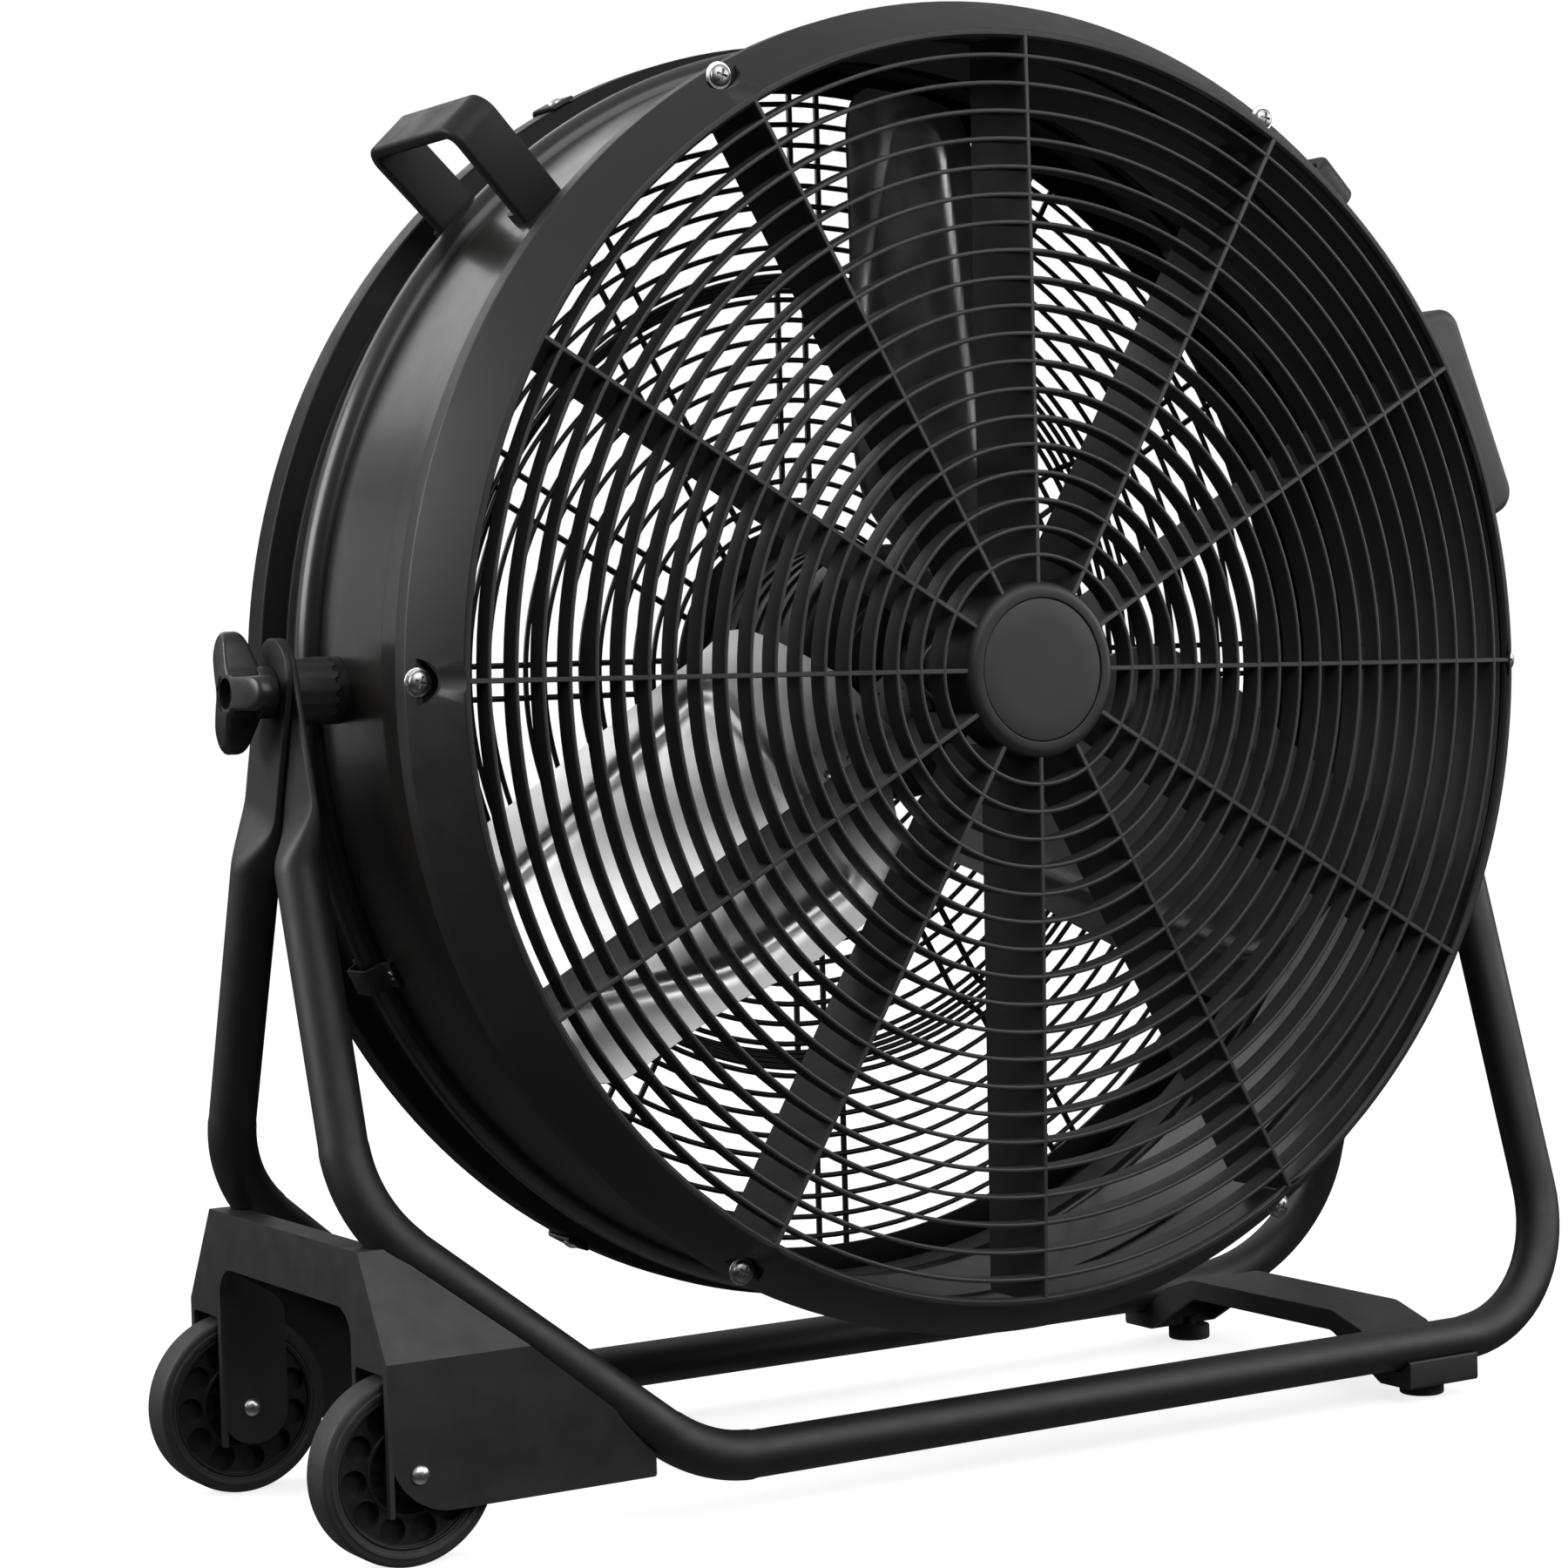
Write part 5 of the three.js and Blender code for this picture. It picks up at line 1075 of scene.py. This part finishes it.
def star_knob(bm):
    """A clamp knob along X: rounded arms that droop towards the fan."""
    p = PIVOT
    outline = knob_outline()
    inner_droop = p.depth - p.droop - p.arm

    def ring(share, start, drop, droop):
        points = []
        for angle, reach in outline:
            radius = share * reach
            lean = max(0, (radius - p.droop_from) / (p.knob - p.droop_from)) ** p.droop_power
            points.append((start + droop * lean + drop, -radius * math.cos(angle), radius * math.sin(angle)))
        return points

    loft(bm, [*[ring(share, KNOB_END, -drop, -p.droop) for share, drop in KNOB_OUTER],
              *[ring(share, KNOB_X, drop, inner_droop) for share, drop in KNOB_INNER]])


def clamp_knob():
    """The knob with its recess, and the bolt and collar that it turns."""
    p = PIVOT
    shallow = shape(prism, circle(p.recess, 6), "X", KNOB_END - p.recess_floor, OVERRUN)
    hole = shape(disc, p.hole, KNOB_END - p.recess_depth, KNOB_END + p.hole_overrun, 40, "X")
    knob = boolean(shape(star_knob), [shallow, hole])
    start, collar, lap = DRUM.radius - p.bolt_end, PLATE_OUT + GAP, KNOB_X + p.collar_lap
    lathe(knob, rounded([
        (0, start, 0), (p.bolt, start, p.bolt_edge), (p.bolt, collar, 0),
        (p.collar, collar, p.collar_edge), (p.collar, lap, p.collar_corner),
        (p.collar * p.neck_share, lap, 0), (0, lap, 0)], steps=4), 40, "X")
    return knob


def make_pivots():
    p = PIVOT
    knob = clamp_knob()
    tooth_turn = turn(p.tooth_turn * 180 / p.teeth, "X")
    for side, flip in (("right", HERE), ("left", FLIP_X)):
        boss = shape(toothed, DRUM.radius - p.boss_sunk, TOOTH_X - p.tooth_height)
        disc(boss, p.sleeve, DRUM.radius - p.sleeve_sunk, DRUM.radius, 32, "X", bore=p.bore)
        add_piece(f"toothed_boss_{side}", boss, AT_HEAD @ move(0, p.y, 0) @ flip, ["pivot_plastic"],
                  f"pivot_boss_{side}", smooth=25)
        spacer = shape(toothed, PLATE_IN - GAP, TOOTH_X + p.tooth_gap)
        add_piece(f"toothed_spacer_{side}", spacer, AT_STAND @ flip @ tooth_turn,
                  ["pivot_plastic"], f"pivot_spacer_{side}", smooth=25)
        add_piece(f"clamp_knob_{side}", knob.copy(), AT_STAND @ flip, ["pivot_plastic"],
                  f"tilt_knob_{side}", smooth=42)
    knob.free()


# Stand
def tube_run():
    """The plain run of a tube, in its own plane."""
    s = STAND
    slant = 1 / math.cos(math.radians(s.tilt))
    base = -s.base_drop * slant
    top = -s.end_bottom - s.taper
    return rounded([
        (-s.leg_x, top, 0), (-s.leg_x, -s.left_corner_drop * slant, s.left_bend),
        (-s.leg_x + s.left_corner_inset, base, s.left_bend), (s.leg_x, base, s.right_bend),
        (s.leg_x, top, 0)], s.bend_steps)


def tube_end(side, inner_x):
    """Centre, half sizes and section power, from a tube's plain end to the tip of its flat plate."""
    s = STAND
    middle = side * (inner_x + s.end_sheet / 2)
    flat = s.end_sheet / 2
    made = []
    for k in range(1, s.end_steps + 1):
        t = k / s.end_steps
        ease = t * t * (3 - 2 * t)
        x = side * s.leg_x * (1 - ease) + middle * ease
        swell = math.sin(QUARTER * t) ** s.swell_power
        made.append(((x, -s.end_bottom - s.taper * (1 - t)), s.tube + (flat - s.tube) * ease,
                     s.tube + (s.end_half - s.tube) * swell, 1 - s.flattening * ease))
    round_from = s.end_top - s.end_half
    made.append(((middle, -s.end_bottom + s.end_rise), flat, s.end_half, s.end_power))
    for a in angles(QUARTER, s.end_steps):
        made.append(((middle, round_from + s.end_half * math.sin(a)), flat,
                     max(s.end_edge, s.end_half * math.cos(a)), s.end_power))
    return made


def tube_body(bm, inner_x):
    """A whole tube, from the left plate to the right one, slightly pinched where each bend starts."""
    s = STAND
    stations = [(point, s.tube, s.tube, 1.0) for point in tube_run()]
    bends = range(1, len(stations) - 1, s.bend_steps + 1)
    for i in [end for first in bends for end in (first, first + s.bend_steps)]:
        stations[i] = (stations[i][0], s.tube * s.pinch, s.tube * (2 - s.pinch), 1.0)
    stations = [*tube_end(-1, inner_x)[::-1], *stations, *tube_end(1, inner_x)]
    sweep(bm, [spot for spot, *_ in stations],
          [oval(half, wide, s.sides, power) for _, half, wide, power in stations], "Y")


def tube_rooms():
    """The plain runs of both tubes with their clearance, to cut their room from what they pass."""
    s = STAND
    radius = s.tube + GAP
    rooms = []
    for lean in (1, -1):
        room = shape(sweep, tube_run(), [oval(radius, radius, s.sides)], "Y")
        room.transform(turn(-lean * s.tilt, "X"))
        rooms.append(room)
    return rooms


def make_tubes():
    s = STAND
    for name, lean, inner_x in (("front", 1, PLATE_IN), ("rear", -1, PLATE_IN + s.end_sheet + GAP)):
        add_piece(f"stand_tube_{name}", shape(tube_body, inner_x), AT_STAND @ turn(-lean * s.tilt, "X"),
                  ["powder_coat"], f"{name}_tube", smooth=45)


def make_cross_bar():
    b, s = BAR, STAND
    end = SPREAD + s.tube + b.overhang
    saddle, crown, shoulder = end - b.saddle_length, end - b.crown_run, end - b.shoulder_run
    low = -s.base_drop - b.saddle_drop
    ledge = -s.base_drop - b.saddle_rise
    drop, rise = -s.base_drop + b.shoulder_drop, -s.base_drop + b.crown_rise
    inner = b.width - 2 * b.sheet

    def across(half, width):
        return shape(prism, rounded(mirrored(half), steps=6), "X", b.x - width / 2, width)

    body = across([
        (-end, low, b.end_corner), (-end, ledge, b.ledge_corner), (-saddle, ledge, b.ledge_corner),
        (-shoulder, drop, b.shoulder_corner), (-crown, rise, b.crown_corner)], b.width)
    hollow = across([
        (-saddle, low - OVERRUN, 0), (-saddle, ledge - b.sheet, 0),
        (-shoulder + b.sheet, drop - b.sheet, b.inner_shoulder),
        (-crown + b.sheet, rise - b.sheet, b.inner_crown)], inner)
    under = across([(-saddle, low - OVERRUN, 0), (-saddle, low, 0),
                    (-crown, rise - b.flange, b.flange_corner)], 2 * b.width)
    bm = boolean(body, [hollow, under, *tube_rooms()])
    add_piece("foot_bar", bm, AT_STAND, ["powder_coat"], "cross_bar", bevel=0.6, smooth=30)


def make_feet():
    f, s = FOOT, STAND
    top = -s.base_drop - BAR.saddle_drop - GAP
    outline = rounded([
        (0, -s.floor_drop, 0), (f.radius, -s.floor_drop, f.edge), (f.radius, top, f.top_edge),
        (f.stem, top, 0), (f.stem, top + f.stem_rise, 0), (0, top + f.stem_rise, 0)], steps=5)
    for name, side in (("front", -1), ("rear", 1)):
        add_piece(f"rubber_foot_{name}", shape(lathe, outline, 48, "Z"),
                  AT_STAND @ move(f.x, side * f.spread, 0), ["rubber"], f"foot_{name}")


# Wheel housing
def housing_wall():
    """The upright sheet across the end, with its window and a notch for each wheel."""
    d = HOUSING
    through = d.sheet + 2 * OVERRUN
    half = d.half - d.top_inset
    wall = shape(prism, [(y, z) for y, z, _ in mirrored(
        [(-half, -d.top, 0), (-d.half, -d.crease, 0), (-d.half, -d.bottom, 0)])],
        "X", HOUSING_X, d.sheet)
    notch = WHEEL.tread / 2 + d.notch_gap
    notch_top = -AXLE_DROP + WHEEL.radius + d.notch_gap / 2
    tools = []
    for middle, reach, top, corner, steps in (
            (0, BAY_Y - d.sheet, -d.window, d.window_corner, 10),
            (-WHEEL_SPREAD, notch, notch_top, d.notch_corner, 5),
            (WHEEL_SPREAD, notch, notch_top, d.notch_corner, 5)):
        outline = [(middle - reach, -STAND.floor_drop, 0), (middle + reach, -STAND.floor_drop, 0),
                   (middle + reach, top, corner), (middle - reach, top, corner)]
        tools.append(shape(prism, rounded(outline, steps), "X", HOUSING_X - OVERRUN, through))
    return boolean(wall, tools)


def trim_drop(x):
    """Depth of the line below the slanted tube's middle, where the panels end."""
    return TRIM_START + (x + STAND.leg_x) * TRIM_SLOPE


def housing_side():
    """The panel, the slope above it and the inner cheek of the near side."""
    d = HOUSING
    x, right = HOUSING_X, -d.right_x
    panel = shape(prism, rounded([
        (x, -d.crease, 0), (x, -d.bottom, d.corner), (right, -d.bottom, d.foot_corner),
        (right, -trim_drop(right), d.right_corner),
        ((d.crease - TRIM_START) / TRIM_SLOPE - STAND.leg_x, -d.crease, 0)], 12), "Y", -d.half, d.sheet)
    rise = d.crease - d.top
    length = math.hypot(rise, d.top_inset)
    slope = shape(prism, [(x, 0), (right, 0), (right, length), (x, length)], "Y", 0, d.sheet)
    slope.transform(move(0, -d.half, -d.crease) @ Matrix.Rotation(-math.atan2(d.top_inset, rise), 4, "X"))
    reach = x + d.cheek_reach
    cheek = shape(prism, rounded([
        (x, -d.window, 0), (x, -d.bottom, d.cheek_corner), (reach, -d.bottom, d.cheek_corner),
        (reach, -d.crease, d.cheek_corner), (x + d.sheet, -d.window, 0)]), "Y", -BAY_Y, d.sheet)
    return [panel, slope, cheek]


def make_housing():
    d, s = HOUSING, STAND
    parts = []
    for piece in housing_side():
        other = piece.copy()
        other.transform(FLIP_Y)
        parts += [piece, other]
    top = d.half - d.top_inset
    flange = shape(block, (HOUSING_X, -top, -d.top - d.sheet), (HOUSING_X + d.top_flange, top, -d.top))
    over = shape(prism, [(-s.leg_x, GAP - trim_drop(-s.leg_x)), (0, GAP - trim_drop(0)), (0, 0),
                         (-s.leg_x, 0)], "Y", -2 * SPREAD, 4 * SPREAD)
    sides = boolean(boolean(parts[0], parts[1:], "UNION"), [over])
    bm = boolean(sides, [housing_wall(), flange], "UNION")
    axle_hole = shape(disc, WHEEL.bore, -d.half - OVERRUN, d.half + OVERRUN, 24)
    axle_hole.transform(move(-WHEEL_X, 0, -AXLE_DROP))
    bm = boolean(bm, [*tube_rooms(), axle_hole])
    add_piece("wheel_case", bm, AT_STAND, ["powder_coat"], "wheel_housing", bevel=0.9, smooth=24)


# Wheels
def both_faces(side):
    """A line of (radius, y, corner) points, then the same line seen in a mirror, from its end back."""
    return [*side, *[(r, -y, corner) for r, y, corner in side[::-1]]]


def tyre(bm):
    w = WHEEL
    half, rim = w.tread / 2, w.rim_width / 2
    side = [
        (w.rim + GAP, rim, 0), (w.rim + w.bead, rim, w.lip_inset),
        (w.rim + w.lip, half - w.lip_inset, w.lip_corner),
        (w.radius - w.shoulder_drop, half, w.shoulder_step),
        (w.radius - w.shoulder_drop + w.shoulder_step, half - w.shoulder_inset, w.lip_corner),
        (w.radius, half - w.tread_inset, w.tread_corner),
    ]
    lathe(bm, rounded(both_faces(side), steps=5), 96)


def wheel_pocket(bm, face):
    """One round pocket of a face, with a little draft."""
    w = WHEEL
    near, far = face * (w.face - w.pocket_depth), face * (w.face + w.pocket_overrun)
    lathe(bm, [(0, near), (w.pocket - w.pocket_draft, near), (w.pocket, far), (0, far)], 28)


def wheel_window(bm, face, k):
    """One ring-shaped window of a face."""
    w = WHEEL
    start = TURN * (k + w.window_start) / w.windows
    arc = [start + a for a in angles(TURN * w.window_share / w.windows, w.window_steps)]
    outline = [(w.window_out * math.cos(a), w.window_out * math.sin(a)) for a in arc]
    outline += [(w.window_in * math.cos(a), w.window_in * math.sin(a)) for a in arc[::-1]]
    prism(bm, outline, "Y", face * w.window_web, face * w.window_overrun)


def wheel_disc():
    w = WHEEL
    rim, boss = w.rim_width / 2, w.boss_width / 2
    web, proud = w.face - w.web_drop, w.face + w.ring_proud
    side = [
        (w.bore, boss, 0), (w.boss - w.boss_step, boss, w.boss_lap),
        (w.boss - w.boss_lap, w.face + w.boss_lap, w.boss_lap), (w.boss, web, w.web_corner),
        (w.ring - w.ring_foot, web, w.web_corner), (w.ring - w.ring_half, proud, w.edge),
        (w.ring + w.ring_half, proud, w.edge), (w.ring + w.ring_foot, w.face, w.edge),
        (w.rim - w.rim_wall, w.face, w.edge), (w.rim - w.rim_top, rim, w.edge), (w.rim, rim, w.edge),
    ]
    body = shape(lathe, rounded(both_faces(side), steps=3), 96)
    tool = bmesh.new()
    for face in (-1, 1):
        merge(tool, shape(wheel_pocket, face),
              [move(x, 0, z) for x, z in circle(w.pocket_circle, w.pockets)])
        for k in range(w.windows):
            wheel_window(tool, face, k)
    return boolean(body, [tool])


def make_wheels():
    w = WHEEL
    wheel = wheel_disc()
    outer = -HOUSING.half - w.axle_lap
    inner = -BAY_Y + HOUSING.sheet + w.axle_lap
    axle = shape(disc, w.axle, outer, inner, 24)
    for base, way in ((outer, -1), (inner, 1)):
        merge(axle, shape(rivet_head, w.head, w.head_height, 0), [move(0, base, 0) @ turn(90 * way, "Z")])
    for name, side, spin, flip in (("front", -1, w.turns[0], HERE), ("rear", 1, w.turns[1], FLIP_Y)):
        place = AT_STAND @ move(-WHEEL_X, side * WHEEL_SPREAD, -AXLE_DROP)
        add_piece(f"tyre_ring_{name}", shape(tyre), place, ["tyre"], f"tyre_{name}")
        add_piece(f"wheel_disc_{name}", wheel.copy(), place @ turn(spin, "Y"), ["wheel_plastic"],
                  f"wheel_hub_{name}", smooth=30)
        add_piece(f"axle_rivet_{name}", axle.copy(), AT_STAND @ move(-WHEEL_X, 0, -AXLE_DROP) @ flip,
                  ["zinc"], f"axle_{name}")
    wheel.free()
    axle.free()


# Inner pieces keep their CAD solids and get their finish
HIDDEN = {
    "stator": "iron_core", "bearing_front": "steel", "bearing_rear": "steel", "rotor_core": "steel",
    "motor_shaft": "steel", "speed_switch": "control_plastic", "run_capacitor": "aluminium",
}


def dress_hidden_nodes():
    for name, slot in HIDDEN.items():
        obj = frame["nodes"][name]
        if not obj.material_slots:
            obj.data.materials.append(LOOKS[slot])
        for material_slot in obj.material_slots:
            material_slot.material = LOOKS[slot]


# Studio, in metres
FLOOR_HALF = 30.0
LIGHT_AIM = (0, 0, 0.4)
# Place, width and height, power
LIGHTS = {
    "left": ((-2.6, 0.9, 1.5), (1.6, 1.6), 58),
    "back_left": ((-1.9, 2.9, 0.7), (1.2, 1.4), 3.2),
    "right": ((2.7, -0.9, 1.1), (1.2, 1.4), 20),
    "front_top": ((0.1, -2.2, 2.1), (2.4, 2.1), 42),
    "front_right": ((1.9, -2.1, 1.2), (1.4, 1.6), 16),
    "back_top": ((-0.4, 2.6, 2.1), (2.6, 1.2), 12),
}
# Height from the lowest to the highest, brightness
ROOM = ((0.0, 0.2), (0.14, 0.12), (0.25, 0.03), (0.47, 0.02), (0.55, 0.07), (0.68, 0.32), (0.82, 0.55),
        (1.0, 0.60))
CAMERA = Sizes(
    place=(-1.1079, -1.690667, 0.436272), yaw=0.5617046, pitch=-0.03241612, roll=-0.02708508,
    sensor=36, lens=84.733, shift=(-50 / 1800, -30 / 1800), near=0.05, far=100,
)


def make_floor():
    half = FLOOR_HALF
    mesh = bpy.data.meshes.new("floor")
    mesh.from_pydata([(-half, -half, 0), (half, -half, 0), (half, half, 0), (-half, half, 0)], [],
                     [(0, 1, 2, 3)])
    floor = bpy.data.objects.new("floor", mesh)
    bpy.context.scene.collection.objects.link(floor)
    material = bpy.data.materials.new("pale_floor")
    material.use_nodes = True
    wire(material.node_tree, material.node_tree.nodes["Principled BSDF"], Base_Color=(0.4, 0.4, 0.4, 1),
         Roughness=0.9, Specular_IOR_Level=0.0, Emission_Color=(1, 1, 1, 1), Emission_Strength=0.8)
    floor.visible_diffuse = False
    floor.visible_glossy = False
    mesh.materials.append(material)


def make_world():
    """White to the camera; to everything else a room that is dim low down and brighter overhead."""
    world = bpy.data.worlds.new("studio")
    bpy.context.scene.world = world
    world.use_nodes = True
    tree = world.node_tree
    tree.nodes.clear()
    coords = add_node(tree, "ShaderNodeTexCoord")
    parts = add_node(tree, "ShaderNodeSeparateXYZ", Vector=coords.outputs["Generated"])
    height = add_node(tree, "ShaderNodeMapRange", Value=parts.outputs["Z"], From_Min=-1.0)
    bright = add_ramp(tree, height.outputs["Result"], [(spot, grey(value)) for spot, value in ROOM])
    room = add_node(tree, "ShaderNodeBackground", Color=bright)
    seen = add_node(tree, "ShaderNodeBackground", Color=(1, 1, 1, 1))
    path = add_node(tree, "ShaderNodeLightPath")
    mix = add_node(tree, "ShaderNodeMixShader", Fac=path.outputs["Is Camera Ray"])
    tree.links.new(room.outputs["Background"], mix.inputs[1])
    tree.links.new(seen.outputs["Background"], mix.inputs[2])
    add_node(tree, "ShaderNodeOutputWorld", Surface=mix.outputs["Shader"])


def make_lights():
    for name, (place, size, power) in LIGHTS.items():
        data = bpy.data.lights.new(name, "AREA")
        data.shape = "RECTANGLE"
        data.size, data.size_y = size
        data.energy = power
        light = bpy.data.objects.new(name, data)
        light.location = place
        light.visible_camera = False
        light.rotation_euler = (Vector(LIGHT_AIM) - Vector(place)).to_track_quat("-Z", "Y").to_euler()
        bpy.context.scene.collection.objects.link(light)


def make_camera():
    c = CAMERA
    ahead = Vector((math.sin(c.yaw) * math.cos(c.pitch), math.cos(c.yaw) * math.cos(c.pitch),
                    math.sin(c.pitch)))
    level = Vector((math.cos(c.yaw), -math.sin(c.yaw), 0))
    up = level.cross(ahead)
    right = level * math.cos(c.roll) + up * math.sin(c.roll)
    top = up * math.cos(c.roll) - level * math.sin(c.roll)
    data = bpy.data.cameras.new("camera")
    data.sensor_width = c.sensor
    data.lens = c.lens
    data.shift_x, data.shift_y = c.shift
    data.clip_start, data.clip_end = c.near, c.far
    camera = bpy.data.objects.new("camera", data)
    camera.matrix_world = Matrix.Translation(c.place) @ Matrix((right, top, -ahead)).transposed().to_4x4()
    bpy.context.scene.collection.objects.link(camera)
    bpy.context.scene.camera = camera


make_drum()
make_grille()
make_grille_screws()
make_guard()
make_guard_clips()
make_motor()
make_rotor()
make_handles()
make_box()
make_lead_clip()
make_pivots()
make_tubes()
make_cross_bar()
make_feet()
make_housing()
make_wheels()
dress_hidden_nodes()
make_floor()
make_world()
make_lights()
make_camera()
bpy.context.scene.view_settings.view_transform = "Standard"
